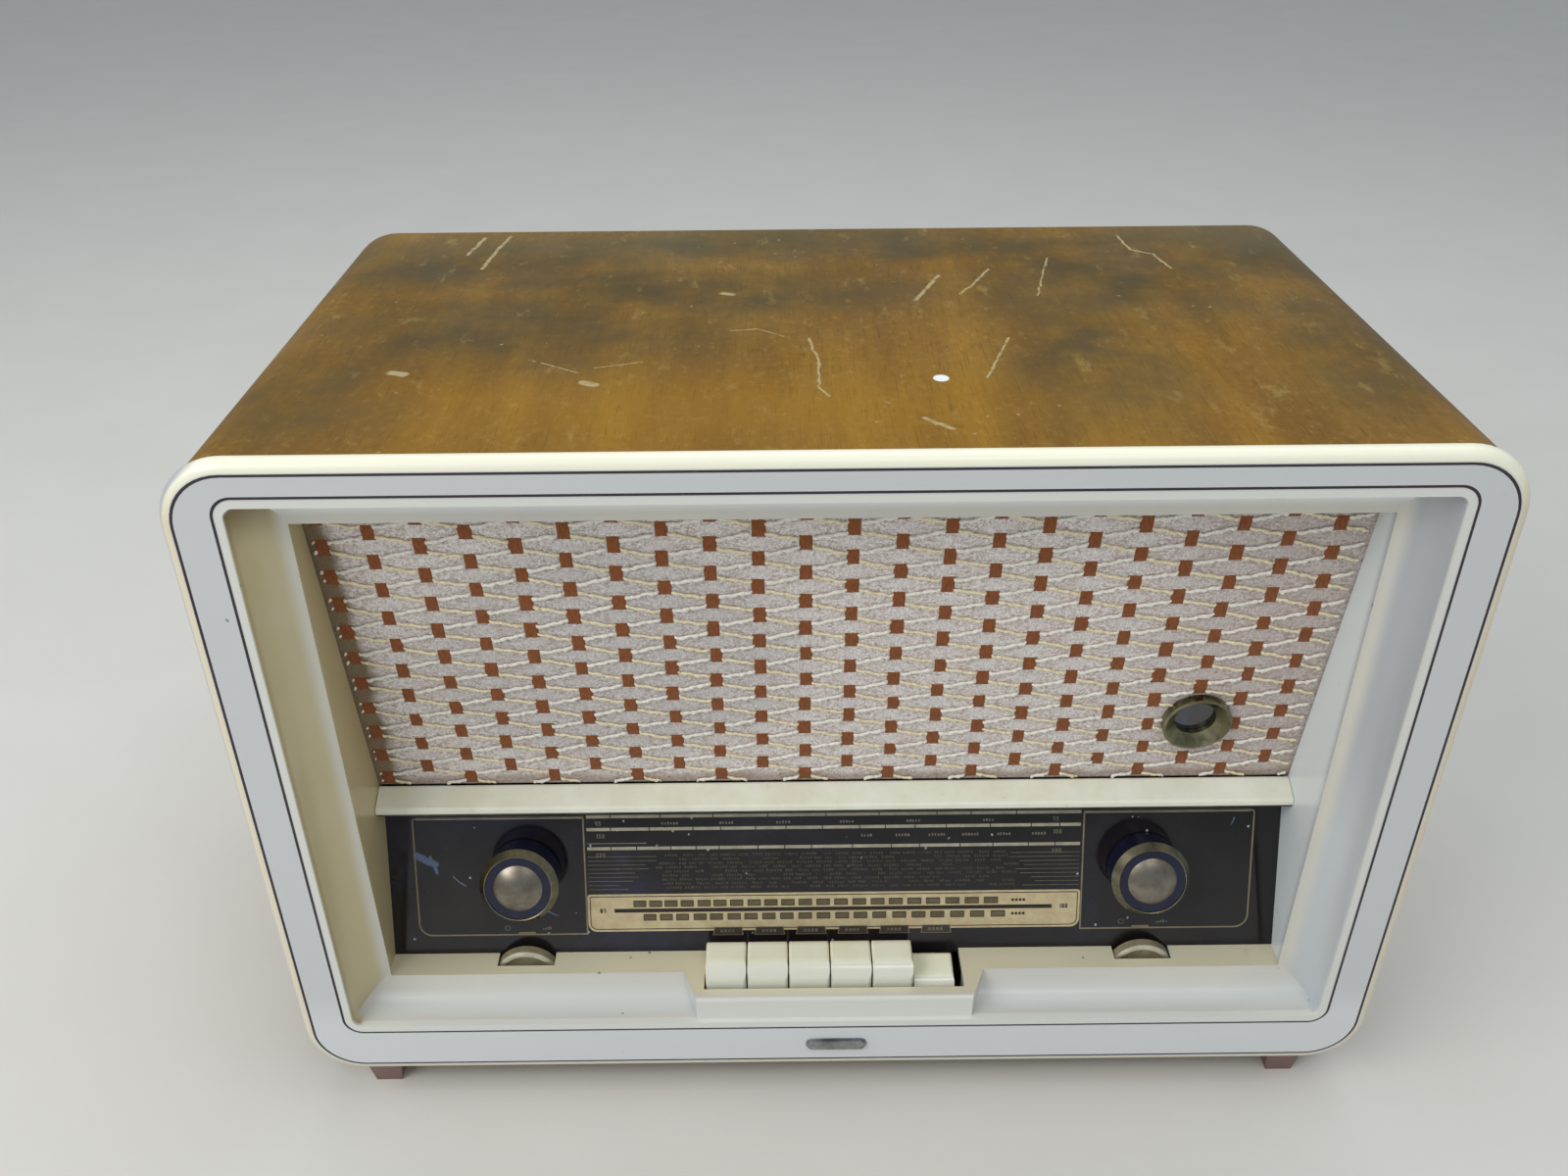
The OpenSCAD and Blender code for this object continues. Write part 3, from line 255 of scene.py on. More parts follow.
def make_camera():
    data = bpy.data.cameras.new("camera")
    data.sensor_width = SENSOR_MM
    data.lens = LENS_MM
    data.clip_start = 0.01
    camera = bpy.data.objects.new("camera", data)
    bpy.context.scene.collection.objects.link(camera)
    turn = (Matrix.Rotation(math.radians(CAMERA_YAW), 4, "Z")
            @ Matrix.Rotation(math.radians(90 - CAMERA_PITCH), 4, "X")
            @ Matrix.Rotation(math.radians(CAMERA_ROLL), 4, "Z"))
    camera.matrix_world = Matrix.Translation(at(*CAMERA_AT)) @ turn
    bpy.context.scene.camera = camera


def add_object(name, mesh, finish, matrix=None, smooth=False):
    o = bpy.data.objects.new(name, mesh)
    bpy.context.scene.collection.objects.link(o)
    if matrix is not None:
        o.matrix_world = matrix
    mesh.materials.append(finish.material)
    for p in mesh.polygons:
        p.use_smooth = smooth
    return o


def add_piece(name, bm, finish, matrix, smooth=False):
    """An object from a bmesh, riding on the set."""
    mesh = bpy.data.meshes.new(name)
    bm.to_mesh(mesh)
    bm.free()
    o = add_object(name, mesh, finish, matrix, smooth)
    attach(o, "set")
    return o


FLOOR_HALF = 5.0      # metres


def make_floor():
    f = Finish("floor_paint", Roughness=0.65)
    f.tone(f.mix(f.noise(9, 5), "d9d6cf", "e2dfd9"))
    f.relief(f.noise(300, 2), 0.15, 0.5)
    mesh = bpy.data.meshes.new("floor")
    corners = [(x * FLOOR_HALF, y * FLOOR_HALF, 0) for x, y in ((-1, -1), (1, -1), (1, 1), (-1, 1))]
    mesh.from_pydata(corners, [], [(0, 1, 2, 3)])
    add_object("floor", mesh, f)


def add_area(name, place, aim, size, watts, tint):
    data = bpy.data.lights.new(name, "AREA")
    data.shape = "RECTANGLE"
    data.size, data.size_y = size
    data.energy = watts
    data.color = tint
    o = bpy.data.objects.new(name, data)
    bpy.context.scene.collection.objects.link(o)
    o.location = place
    o.rotation_euler = (Vector(aim) - Vector(place)).to_track_quat("-Z", "Y").to_euler()


def make_light():
    world = bpy.data.worlds.new("studio")
    bpy.context.scene.world = world
    world.use_nodes = True
    background = world.node_tree.nodes["Background"]
    background.inputs[0].default_value = (0.84, 0.93, 1.0, 1)
    background.inputs[1].default_value = 0.42
    middle = (0, 0, 0.2)
    add_area("window", (-1.5, -1.1, 1.6), middle, (1.6, 1.2), 25, (1.0, 0.98, 0.95))
    add_area("ceiling", (0.3, 0.4, 2.2), middle, (2.4, 1.6), 17, (0.95, 0.98, 1.0))
    add_area("front", (0.5, -1.3, 1.9), middle, (0.9, 0.5), 5, (1.0, 0.98, 0.95))
    bpy.context.scene.view_settings.view_transform = "Standard"


# -------- cabinet and bezel

# Worn patches of the top: the middle of each, then its half size across and to the back.
WORN_PATCHES = (
    ((-150, 138), (95, 52)), ((-60, 190), (120, 40)), ((140, 200), (80, 62)), ((-150, 240), (90, 34)),
    ((228, 120), (34, 90)), ((112, 105), (34, 80)), ((-222, 60), (36, 50)), ((225, 240), (60, 45)),
    ((-215, 225), (60, 45)), ((20, 262), (200, 22)), ((-180, 212), (70, 36)),
)
PATCH_HALF_H = 60        # the patches reach this far down over the corner of the shell
# Scratches and chips of the top: the width of each, then its points.
TOP_MARKS = (
    (2.0, (-175, 284), (-179, 255), (-181, 228)),
    (2.2, (-189, 282), (-193, 252)),
    (0.9, (-48, 136), (-35, 137), (-23, 128)),
    (1.3, (-12, 125), (-8, 96), (-9, 69), (-5, 59)),
    (2.0, (42, 175), (57, 211)),
    (1.4, (65, 183), (73, 197), (84, 220)),
    (1.0, (103, 180), (113, 220), (118, 238)),
    (1.5, (163, 276), (165, 250), (175, 243), (179, 219)),
    (1.2, (64, 77), (80, 123)),
    (2.4, (33, 36), (43, 26)),
    (4.2, (-110, 76), (-105, 73)),
    (5.0, (-195, 89), (-190, 87)),
    (3.6, (-53, 187), (-48, 185)),
    (0.8, (-137, 102), (-114, 87)),
    (0.8, (-107, 92), (-86, 98)),
)
WHITE_DOT = (44, 77)     # a dot of paint on the top


def top(x, y):
    """A point on the cabinet's top, in metres."""
    return at(x, y, CABINET_TOP)


def veneer_grain(f):
    """Colour and relief of the clean wood, its grain from front to back."""
    x, y, z = f.split()
    # the way round the shell: x on the top, then down each side
    down = f.math("SUBTRACT", above(CABINET_TOP), z)
    around = f.math("ADD", x, f.both(f.math("SIGN", x), down))
    sheet = f.node("ShaderNodeCombineXYZ", X=around, Y=y)

    def along_grain(across, along, detail, rough):
        spread = f.node("ShaderNodeMapping", Vector=sheet, Scale=(across, along, 1))
        return f.noise(1.0, detail, rough, vector=spread, bend=0.3)

    wide = along_grain(26, 3.5, 4, 0.55)
    fine = along_grain(420, 14, 5, 0.7)
    pores = along_grain(1500, 45, 2, 0.5)
    fleck = f.grain((260, 190, 260), 5, 0.75)
    base = f.fade(wide, "79551a", "987022", 0.32, 0.7)
    base = f.tint(base, f.step(fine, 0.35, 0.75), 0.45, "7e5c20")
    base = f.tint(base, f.step(pores, 0.56, 0.72), 0.5, "46340f")
    base = f.tint(base, f.step(fleck, 0.52, 0.72), 0.4, "b0904a")
    base = f.tint(base, f.step(fleck, 0.46, 0.3), 0.35, "4a3a18")
    relief = f.math("ADD", f.both(fine, 0.5), f.both(pores, -0.5))
    return base, relief


def veneer_wear(f, base):
    """Dark worn patches, a golden place in front, and a greyish painted reflection of the sky, a sheen at the
    back of the top.
    """
    loose = f.wobbled(9, 34, 5)
    worn = None
    for middle, half in WORN_PATCHES:
        patch = f.blob(top(*middle), (*half, PATCH_HALF_H), 0.75, loose)
        worn = patch if worn is None else f.math("MAXIMUM", worn, patch)
    mottle = f.noise(32, 6, 0.62)
    worn = f.both(worn, f.step(mottle, 0.25, 0.7, (0.35, 0.95)))
    base = f.mix(worn, base, "52462a")
    gold = f.blob(top(-60, 45), (130, 42, 50), 0.8, loose)
    base = f.tint(base, gold, 0.35, "a47716")
    # painted reflection: the sky's greyish sheen at the back of the top, painted over the wood
    haze = f.math("MAXIMUM", f.blob(top(-120, 278), (170, 30, 40), 0.8, loose),
                  f.blob(top(235, 282), (80, 34, 40), 0.8, loose))
    return f.tint(base, haze, 0.45, "5d5c46")


def veneer_marks(f):
    """1 on the scratches, chips and speckles of the lacquer."""
    runs = [(width, [top(*point) for point in points]) for width, *points in TOP_MARKS]
    broken = f.step(f.noise(240, 3), 0.3, 0.55, (0.45, 1))
    marks = f.both(f.strokes(runs, f.wobbled(160, 1.3, 3)), broken)
    speckle = f.step(f.spots(95, f.wobbled(60, 3)), 0.1, 0.05)
    speckle = f.both(speckle, f.step(f.noise(14, 2), 0.5, 0.62))
    return f.math("MAXIMUM", marks, f.both(speckle, 0.8))


def veneer():
    """Aged walnut veneer wrapped over the cabinet, its lacquer worn and scratched."""
    f = Finish("veneer", Coat_Weight=0.03, Coat_Roughness=0.3, Specular_IOR_Level=0.12)
    base, relief = veneer_grain(f)
    base = veneer_wear(f, base)
    marks = veneer_marks(f)
    rubbed = f.step(f.noise(70, 5, 0.7, vector=f.stretched(1.4, 0.6, 1)), 0.58, 0.72)
    base = f.tint(base, rubbed, 0.4, "a98f52")
    base = f.tint(base, marks, 0.8, "b9ab82")
    dot = f.blob(top(*WHITE_DOT), (3.4, 3.6, 3), 0.12)
    f.tone(f.mix(dot, base, "f2f4f4"))
    rough = f.step(f.noise(18, 4), 0.3, 0.7, (0.42, 0.6))
    f.set("Roughness", f.math("ADD", rough, f.both(marks, 0.3), clamp=True))
    f.relief(relief, 0.25, 0.12)
    return f


def outside_line(f, side, low, high, corner):
    """How far a point is outside a rectangle with round corners, seen from the front."""
    x, _, z = f.split()
    middle, tall = above((low + high) / 2), (high - low) / 2
    over_x = f.math("SUBTRACT", f.math("ABSOLUTE", x), (side - corner) * MM)
    over_z = f.math("SUBTRACT", f.math("ABSOLUTE", f.math("SUBTRACT", z, middle)), (tall - corner) * MM)
    pair = f.node("ShaderNodeCombineXYZ", X=f.math("MAXIMUM", over_x, 0.0), Y=f.math("MAXIMUM", over_z, 0.0))
    return f.math("SUBTRACT", f.vector("LENGTH", pair, out=1), corner * MM)


def face_colours(f, base):
    """Grey flat face with a lighter inner band; the rim is yellow above and beige below."""
    _, y, z = f.split()
    face = f.step(y, behind(4.6), behind(2.8))
    base = f.tint(base, face, 0.9, "cdd0d3")
    lower = f.both(face, f.step(z, above(60), above(30)))
    base = f.tint(base, lower, 0.7, "e0e3e5")
    inner = outside_line(f, BEZEL_HALF - INNER_SIDE, INNER_LOW, BEZEL_H - INNER_TOP, INNER_R)
    band = f.both(face, f.step(inner, -0.8 * MM, -1.6 * MM))
    base = f.tint(base, band, 0.75, "e3e4da")
    outer = outside_line(f, BEZEL_HALF - OUTER_LINE, OUTER_LINE, BEZEL_H - OUTER_LINE, OUTER_R)
    rim = f.step(outer, 0.5 * MM, 1.6 * MM)
    base = f.tint(base, rim, 0.95, "faf7e0")
    low_rim = f.both(rim, f.step(z, above(342), above(322)))
    return f.tint(base, low_rim, 0.6, "d6c3a4")


def left_wall_colours(f, base, cloud):
    """The wall on the left faces away from the light: yellowed plastic under painted shade, browner painted
    shade along its edge, and a dark painted shadow in its upper corner.
    """
    x, y, z = f.split()
    left = f.both(f.step(y, behind(0.6), behind(2.2)), f.step(f.split(f.facing)[0], 0.1, 0.5))
    left = f.both(left, f.step(x, 0.0, -50 * MM))
    left = f.both(left, f.step(x, -WALL_FROM * MM, -WALL_FULL * MM))
    # yellowed plastic and painted shade: the wall turned to the right, away from the light, is painted ochre
    base = f.tint(base, f.both(left, f.step(cloud, 0.25, 0.6, (0.75, 1))), 0.9, "cabb8a")
    # painted shade: browner along the wall's front edge, and fainter on the step behind
    base = f.tint(base, f.both(left, f.step(y, behind(6), behind(2))), 0.5, "a9834a")
    base = f.tint(base, f.both(left, f.step(y, *STEP_BEHIND)), 0.3, "b59b66")
    # painted shadow: dark brown in the upper corner of the wall
    return f.tint(base, f.both(left, f.step(z, above(304), above(328))), 0.75, "664a1e")


def other_wall_colours(f, base):
    """The roof gets a pale bluish painted reflection, the lip is cool, the sill yellow, and the right wall,
    which faces the light, a cool painted light that is lighter on its step and greyer towards its top.
    """
    x, y, z = f.split()
    nx, _, nz = f.split(f.facing)
    walls = f.step(y, behind(0.6), behind(2.2))
    # painted reflection: the downward-facing roof is painted the pale bluish white of the surroundings it
    # reflects
    base = f.tint(base, f.both(walls, f.step(nz, -0.1, -0.5)), 0.92, "f6faff")
    upward = f.both(f.step(y, behind(3), behind(9)), f.step(nz, 0.4, 0.9))
    base = f.tint(base, f.both(upward, f.step(z, above(48), above(46))), 0.7, "d3d8d8")
    base = f.tint(base, f.both(upward, f.step(z, above(46.5), above(47.2))), 0.8, "ddd5b3")
    # painted light: the right wall faces the light and is painted cool and bright, lighter still on its step
    right = f.both(walls, f.step(nx, -0.2, -0.6))
    right = f.both(right, f.step(x, WALL_FROM * MM, WALL_FULL * MM))
    cove = f.mix(f.step(z, above(120), above(210)), "c0c6cc", "a8adb4")
    shade = f.mix(f.step(y, *STEP_BEHIND), cove, "e3ecf0")
    return f.tint(base, right, 0.88, shade)


def moulded():
    """Aged cream plastic of the bezel: grey on the flat face, yellower on the rim and sill, painted shade
    over the yellowed left wall, painted light on the right wall and a painted reflection on the roof.
    """
    f = Finish("moulded_plastic", Coat_Weight=0.35, Coat_Roughness=0.2, Specular_IOR_Level=0.5)
    f.set("Subsurface Weight", 0.06)
    f.set("Subsurface Radius", (0.004, 0.003, 0.002))
    cloud = f.noise(11, 5, 0.6)
    base = f.fade(cloud, "d9d5c8", "d2cfc9")
    base = face_colours(f, base)
    base = left_wall_colours(f, base, cloud)
    base = other_wall_colours(f, base)
    grime = f.both(f.step(f.noise(55, 6, 0.7), 0.58, 0.8), f.step(f.split()[1], behind(8), behind(40)))
    base = f.tint(base, grime, 0.35, "a08a62")
    specks = f.both(f.step(f.spots(52, f.wobbled(90, 2)), 0.065, 0.035), f.step(f.noise(12, 2), 0.5, 0.6))
    f.tone(f.tint(base, specks, 0.75, "57504a"))
    f.set("Roughness", f.step(f.noise(35, 4), 0.3, 0.7, (0.3, 0.42)))
    f.relief(f.noise(60, 3), 0.05, 0.4)
    return f


def inlay():
    """Dark paint of the two inlaid lines, a little worn."""
    f = Finish("line_paint", Roughness=0.45)
    wear = f.noise(90, 5, 0.7)
    f.tone(f.fade(wear, "33262c", "4f4144", 0.55, 0.75))
    f.relief(wear, 0.2, 0.1)
    return f


def cream(name, coat, coat_rough):
    """Glossy plastic that light enters a little, still without a colour."""
    f = Finish(name, Coat_Weight=coat, Coat_Roughness=coat_rough, Roughness=0.34, Specular_IOR_Level=0.5)
    f.set("Subsurface Weight", 0.08)
    f.set("Subsurface Radius", (0.003, 0.002, 0.001))
    f.relief(f.noise(120, 3), 0.06, 0.3)
    return f


def ledge_plastic(one, two, dirt):
    """The cream ledge, with brown spots."""
    f = cream("ledge_plastic", 0.4, 0.16)
    cloud = f.noise(40, 5, 0.6)
    base = f.fade(cloud, one, two, 0.3, 0.7)
    spots = f.step(f.noise(160, 4, 0.7), 0.62, 0.8)
    f.tone(f.tint(base, spots, 0.4, dirt))
    return f


def key_plastic():
    """Yellowed key caps, with a whiter painted highlight on the bend in front, and brown at the foot."""
    f = cream("key_ivory", 0.9, 0.07)
    _, y, z = f.split()
    cloud = f.noise(45, 5, 0.6)
    base = f.fade(cloud, "fefce6", "f9f5d8", 0.3, 0.7)
    # painted highlight: the glossy reflection of the light on each key's front bend
    bend = f.step(y, behind(19), behind(13))
    base = f.tint(base, bend, 0.8, "dddfd2")
    foot = f.step(z, above(47), above(41))
    front = f.step(y, behind(16), behind(12))
    low = f.both(f.both(foot, front), f.step(f.noise(180, 4, 0.7), 0.3, 0.65, (0.3, 1)))
    base = f.tint(base, low, 0.6, "8d6f45")
    back = f.step(y, behind(27), behind(31))
    base = f.tint(base, back, 0.45, "a88f5e")
    f.tone(base)
    return f


def worn_metal(name, bright, dull, dark, rough=(0.28, 0.5), scale=60):
    """Tarnished metal with dark pits."""
    f = Finish(name, Metallic=1.0)
    cloud = f.noise(scale, 6, 0.65)
    base = f.fade(cloud, dull, bright, 0.35, 0.65)
    pits = f.step(f.noise(scale * 6, 4, 0.7), 0.6, 0.75)
    base = f.tint(base, pits, 0.55, dark)
    f.tone(base)
    f.set("Roughness", f.step(cloud, 0.3, 0.7, rough))
    f.relief(f.noise(scale * 4, 4, 0.6), 0.12, 0.15)
    return f


RINGS_PER_METRE = 5200.0


def spun_metal(name, centre, axis, bright, dull, rough):
    """Metal turned on a lathe: fine rings about an axis, and a little tarnish."""
    f = Finish(name, Metallic=1.0)
    away = f.vector("CROSS_PRODUCT", f.vector("SUBTRACT", f.place, tuple(centre)), tuple(axis))
    radius = f.vector("LENGTH", away, out=1)
    rings = f.node("ShaderNodeTexNoise", settings={"noise_dimensions": "1D"},
                   W=f.both(radius, RINGS_PER_METRE), Scale=1.0, Detail=3.0)
    cloud = f.noise(150, 5, 0.65)
    base = f.fade(cloud, bright, dull)
    base = f.tint(base, f.step(rings, 0.4, 0.7), 0.25, dull)
    f.tone(base)
    f.set("Roughness", f.step(cloud, 0.3, 0.7, rough))
    f.relief(rings, 0.18, 0.06)
    return f


def gloss_plastic(name, one, two, rough=0.18):
    """Polished plastic or glass with faint smears."""
    f = Finish(name, Coat_Weight=0.3, Coat_Roughness=0.08, Roughness=rough, Specular_IOR_Level=0.3)
    cloud = f.noise(120, 5, 0.65)
    f.tone(f.fade(cloud, one, two))
    f.set("Coat Roughness", f.step(f.noise(200, 4), 0.4, 0.7, (0.06, 0.2)))
    f.relief(f.noise(90, 3), 0.04, 0.2)
    return f


def dull_plastic(name, one, two, rough=(0.45, 0.65), scale=70):
    """Matt plastic, rubber, paint or paper."""
    f = Finish(name)
    cloud = f.noise(scale, 5, 0.65)
    f.tone(f.fade(cloud, one, two))
    f.set("Roughness", f.step(cloud, 0.3, 0.7, rough))
    f.relief(f.noise(scale * 4, 3), 0.15, 0.2)
    return f


def board(name, one, two):
    """Pressed fibre board, with short fibres in all directions."""
    f = Finish(name, Roughness=0.8)
    fibre = f.noise(900, 3, 0.7, vector=f.stretched(1, 1, 0.3))
    cross = f.noise(800, 3, 0.7, vector=f.stretched(0.3, 1, 1))
    mixed = f.both(f.math("ADD", fibre, cross), 0.5)
    base = f.fade(mixed, one, two, 0.38, 0.62)
    base = f.tint(base, f.step(f.noise(9, 5), 0.45, 0.7), 0.35, one)
    f.tone(base)
    f.relief(mixed, 0.3, 0.25)
    return f


def wheel_plastic():
    """Thumbwheel: beige rim, lighter front face with a painted shadow along its foot."""
    f = Finish("wheel_plastic", Coat_Weight=0.3, Coat_Roughness=0.25, Roughness=0.4)
    _, y, z = f.split()
    face = f.step(y, behind(29.2), behind(28.4))
    cloud = f.noise(120, 5, 0.65)
    rim = f.fade(cloud, "9c9274", "81785a")
    front = f.fade(cloud, "cbc6b4", "b6b09c")
    # painted shadow: the front face turns brown along its foot
    front = f.tint(front, f.step(z, above(49.5), above(47)), 0.6, "7d6238")
    f.tone(f.mix(face, rim, front))
    f.relief(f.noise(200, 3), 0.1, 0.15)
    return f


# Scratches of the glass: the width of each, then its two ends.
GLASS_MARKS = (
    (3.6, (-214, 54), (-205, 49)),
    (1.6, (-207, 53), (-204, 44)),
    (0.8, (-196, 42), (-190, 37)),
    (0.9, (-150, 24), (-143, 20)),
    (0.7, (205, 70), (203, 66)),
)


def on_dial(x, v):
    """A point of the glass, v millimetres up it."""
    return at(x, DIAL_Y + v * math.sin(DIAL_LEAN), DIAL_Z + v * math.cos(DIAL_LEAN))


def printed_glass():
    """The dial glass, printed near-black behind, with haze, dust and bluish scratches."""
    f = Finish("printed_glass", Roughness=0.12, Coat_Weight=0.12, Coat_Roughness=0.04, Specular_IOR_Level=0.4)
    cloud = f.noise(22, 6, 0.65)
    base = f.fade(cloud, "171213", "211c1e")
    x, _, z = f.split()
    haze = f.step(f.noise(14, 5, 0.7, vector=f.wobbled(30, 8)), 0.46, 0.72)
    haze = f.both(haze, f.step(x, 20 * MM, -160 * MM, (0.12, 0.5)))
    base = f.mix(haze, base, "323654")
    bluish = f.both(f.step(x, -110 * MM, -180 * MM), f.step(z, above(95), above(125)))
    base = f.tint(base, bluish, 0.4, "2b3048")
    dust = f.step(f.spots(110, f.wobbled(100, 2)), 0.085, 0.05)
    dust = f.both(dust, f.step(f.noise(25, 2), 0.45, 0.55))
    base = f.tint(base, dust, 0.8, "c3c6ca")
    runs = [(width, [on_dial(*point) for point in points]) for width, *points in GLASS_MARKS]
    marks = f.both(f.strokes(runs, f.wobbled(200, 1)), 0.6)
    base = f.mix(marks, base, "6d83a8")
    f.tone(base)
    f.set("Roughness", f.step(f.noise(30, 5), 0.35, 0.7, (0.08, 0.26)))
    return f


def print_ink(name, one, two):
    """Ink of the dial print, seen under the gloss of the glass."""
    f = Finish(name, Coat_Weight=0.12, Coat_Roughness=0.05, Roughness=0.4, Specular_IOR_Level=0.35)
    cloud = f.noise(130, 5, 0.7)
    f.tone(f.fade(cloud, one, two, 0.3, 0.7))
    return f


def steel(name, one, two, rough=(0.35, 0.55)):
    """Rolled sheet or cast metal, brushed along its length."""
    f = Finish(name, Metallic=0.9)
    cloud = f.noise(45, 5, 0.6)
    brushed = f.noise(30, 4, 0.6, vector=f.stretched(1, 8, 30))
    f.tone(f.fade(cloud, one, two))
    f.set("Roughness", f.step(brushed, 0.3, 0.7, rough))
    f.relief(brushed, 0.08, 0.1)
    return f


def valve_glass():
    """Dark valve bulbs, silvered at their tops."""
    f = Finish("valve_glass", Roughness=0.05, Coat_Weight=0.6)
    z = f.split()[2]
    silver = f.step(z, above(104), above(112))
    cloud = f.noise(80, 4)
    f.tone(f.mix(silver, f.mix(cloud, "2b2b2d", "45423f"), "8b8f93"))
    f.set("Metallic", f.both(silver, 0.8))
    return f


def eye_glass():
    """The end of the magic-eye tube: dark glass with a faint blue-green screen."""
    f = Finish("eye_glass", Roughness=0.06, Coat_Weight=1.0, Coat_Roughness=0.02)
    x, _, _ = f.split()
    low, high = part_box("eye_tube")
    middle = (low + high) / 2
    shade = f.step(x, middle.x - 1 * MM, middle.x - 4 * MM)
    cloud = f.noise(160, 4)
    base = f.mix(shade, f.mix(cloud, "07080c", "10141e"), "1f2a3f")
    f.tone(base)
    return f


def cone_paper():
    """Grey felted paper of the loudspeaker's cone."""
    f = Finish("cone_paper", Roughness=0.85)
    fibre = f.noise(500, 4, 0.7)
    f.tone(f.fade(fibre, "33302c", "4a453f", 0.35, 0.65))
    f.relief(fibre, 0.3, 0.3)
    return f


def paint_knob(side):
    """The domed cap and the flared band of one knob, both turned about its shaft."""
    axis = Vector((0, math.cos(DIAL_LEAN), -math.sin(DIAL_LEAN)))
    low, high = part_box(side + "_knob_cap")
    centre = (low + high) / 2
    cap = spun_metal(side + "_cap_metal", centre, axis, "8f897e", "787063", (0.3, 0.42))
    band = spun_metal(side + "_band_metal", centre, axis, "8e8b78", "75705d", (0.22, 0.36))
    paint(cap, side + "_knob_cap")
    paint(band, side + "_knob_band")


# Matt pieces: material, its two colours and the node.
MATT_NODES = (
    ("foot_rubber", "7a5f5a", "8c706a", "feet"),
    ("coil_paper", "a8844a", "8b6a38", "transformer_coil"),
    ("black_rubber", "191919", "262626", "mains_grommet"),
    ("ferrite", "2f3033", "3e4044", "ferrite_antenna"),
    ("drum_plastic", "b9b3a2", "9f9885", "dial_drum"),
    ("plate_paint", "d2cfc4", "bcb8aa", "dial_plate"),
    ("pointer_paint", "c23a22", "a22f1b", "pointer"),
)


def paint_frame():
    """Every CAD node that shows gets its own finish."""
    paint(veneer(), "cabinet")
    paint(moulded(), "bezel")
    paint(inlay(), "bezel_lines")
    paint(ledge_plastic("f5f4e6", "eae6d2", "b8a47c"), "ledge_bar")
    paint(key_plastic(), *("key_%d" % n for n in range(1, 7)))
    paint(worn_metal("badge_metal", "a9acb0", "7c7d7f", "3a3634"), "badge_bar")
    paint(worn_metal("trim_metal", "6e6a62", "4a4742", "2b2826"), "ledge_trim")
    paint(worn_metal("eye_metal", "8f8a70", "6c6850", "37332a", (0.22, 0.42), 90), "eye_ring")
    paint(printed_glass(), "dial_glass")
    paint(eye_glass(), "eye_tube")
    for side in ("volume", "tuning"):
        paint_knob(side)
    paint(gloss_plastic("knob_blue", "12142a", "1b1f3a"), "volume_knob_body", "tuning_knob_body")
    paint(wheel_plastic(), "bass_wheel", "treble_wheel")
    paint(board("back_board", "5a3d22", "7a5633"), "back_cover")
    paint(board("baffle_board", "2f261d", "453829"), "baffle")
    bare = steel("plated_steel", "a7a9a6", "8d8f8a")
    paint(bare, "chassis", "back_cover_screws", "floor_bolts", "key_frame", "key_rod", "pointer_rail",
          "capacitor_frame", "capacitor_rotor", "volume_shaft", "tuning_spindle", "speaker_basket")
    paint(steel("aluminium", "c4c6c8", "a8abad", (0.3, 0.45)), "if_cans", "fm_tuner", "smoothing_can")
    paint(steel("brass", "b99a55", "937637"), "tuning_flywheel")
    paint(steel("core_iron", "4b4a48", "62605c", (0.5, 0.7)), "transformer_core", "output_transformer",
          "speaker_magnet")
    paint(dull_plastic("bakelite", "2b1d16", "3b2a20", (0.3, 0.5)), "rear_sockets", "volume_control",
          "bass_control", "treble_control", "rectifier")
    for name, one, two, node in MATT_NODES:
        paint(dull_plastic(name, one, two), node)
    paint(dull_plastic("cord_linen", "b5a88c", "8e8066", scale=400), "dial_cord")
    paint(gloss_plastic("lamp_glass", "c9c3b0", "dcd7c8"), "dial_lamps")
    paint(valve_glass(), "valves")
    paint(cone_paper(), "speaker_cone")


# -------- dial print

# Sizes of the print lie on the glass: x from its middle, v up it from its foot.
PRINT_GAP, PRINT_T = 0.03, 0.05       # the ink begins this far from the glass, and is this thick
ON_PANEL, ON_BAR, ON_BOX, ON_TAB = (PRINT_GAP + PRINT_T * n for n in (1.1, 1.2, 2.2, 3.4))
BORDER_X, BORDER_LOW, BORDER_TOP = 215.3, 9.1, 74.6
BORDER_GAP = 1.2                      # between the scale block and the border of a knob field
PANEL_X, PANEL_LOW, PANEL_TOP = 126.4, 10.6, 31.4
BAR_MID, BAR_T = (74.1, 67.2, 56.7), 1.7
BAR_VALUES = (49, 150, 535)
TOWN_ROWS, ROW_PITCH, MARK_PITCH = 9, 2.25, 1.35
# Each row of channel boxes: its height, how many, and where the first and the last lie.
CHANNEL_ROWS = ((26.0, 21, -100.5, 81.2), (18.4, 20, -95.5, 85))
TAB_FIRST, TAB_PITCH = -55, 21.62
KNOB_X = 159.3
# Each ink: the piece it makes, its material and two colours.
INKS = {
    "gold": ("dial_border", "ink_gold", "8c8068", "7a7058"),
    "pale": ("dial_bars", "ink_pale", "b3ab96", "97917f"),
    "buff": ("dial_panel", "ink_buff", "cebf98", "bda984"),
    "dark": ("dial_scale", "ink_dark", "1f1814", "2c241e"),
    "box_edges": ("dial_box_edges", "ink_umber", "3a3123", "473d2c"),
    "boxes": ("dial_boxes", "ink_olive", "6b6046", "584e38"),
    "tab_edges": ("dial_tab_edges", "ink_tab_edge", "8a7d62", "756a52"),
    "tabs": ("dial_tabs", "ink_tab", "3b352e", "4a443b"),
    "names": ("dial_marks", "ink_grey", "7a7463", "5e594c"),
    "towns": ("dial_towns", "ink_faint", "4d463a", "3a342c"),
}


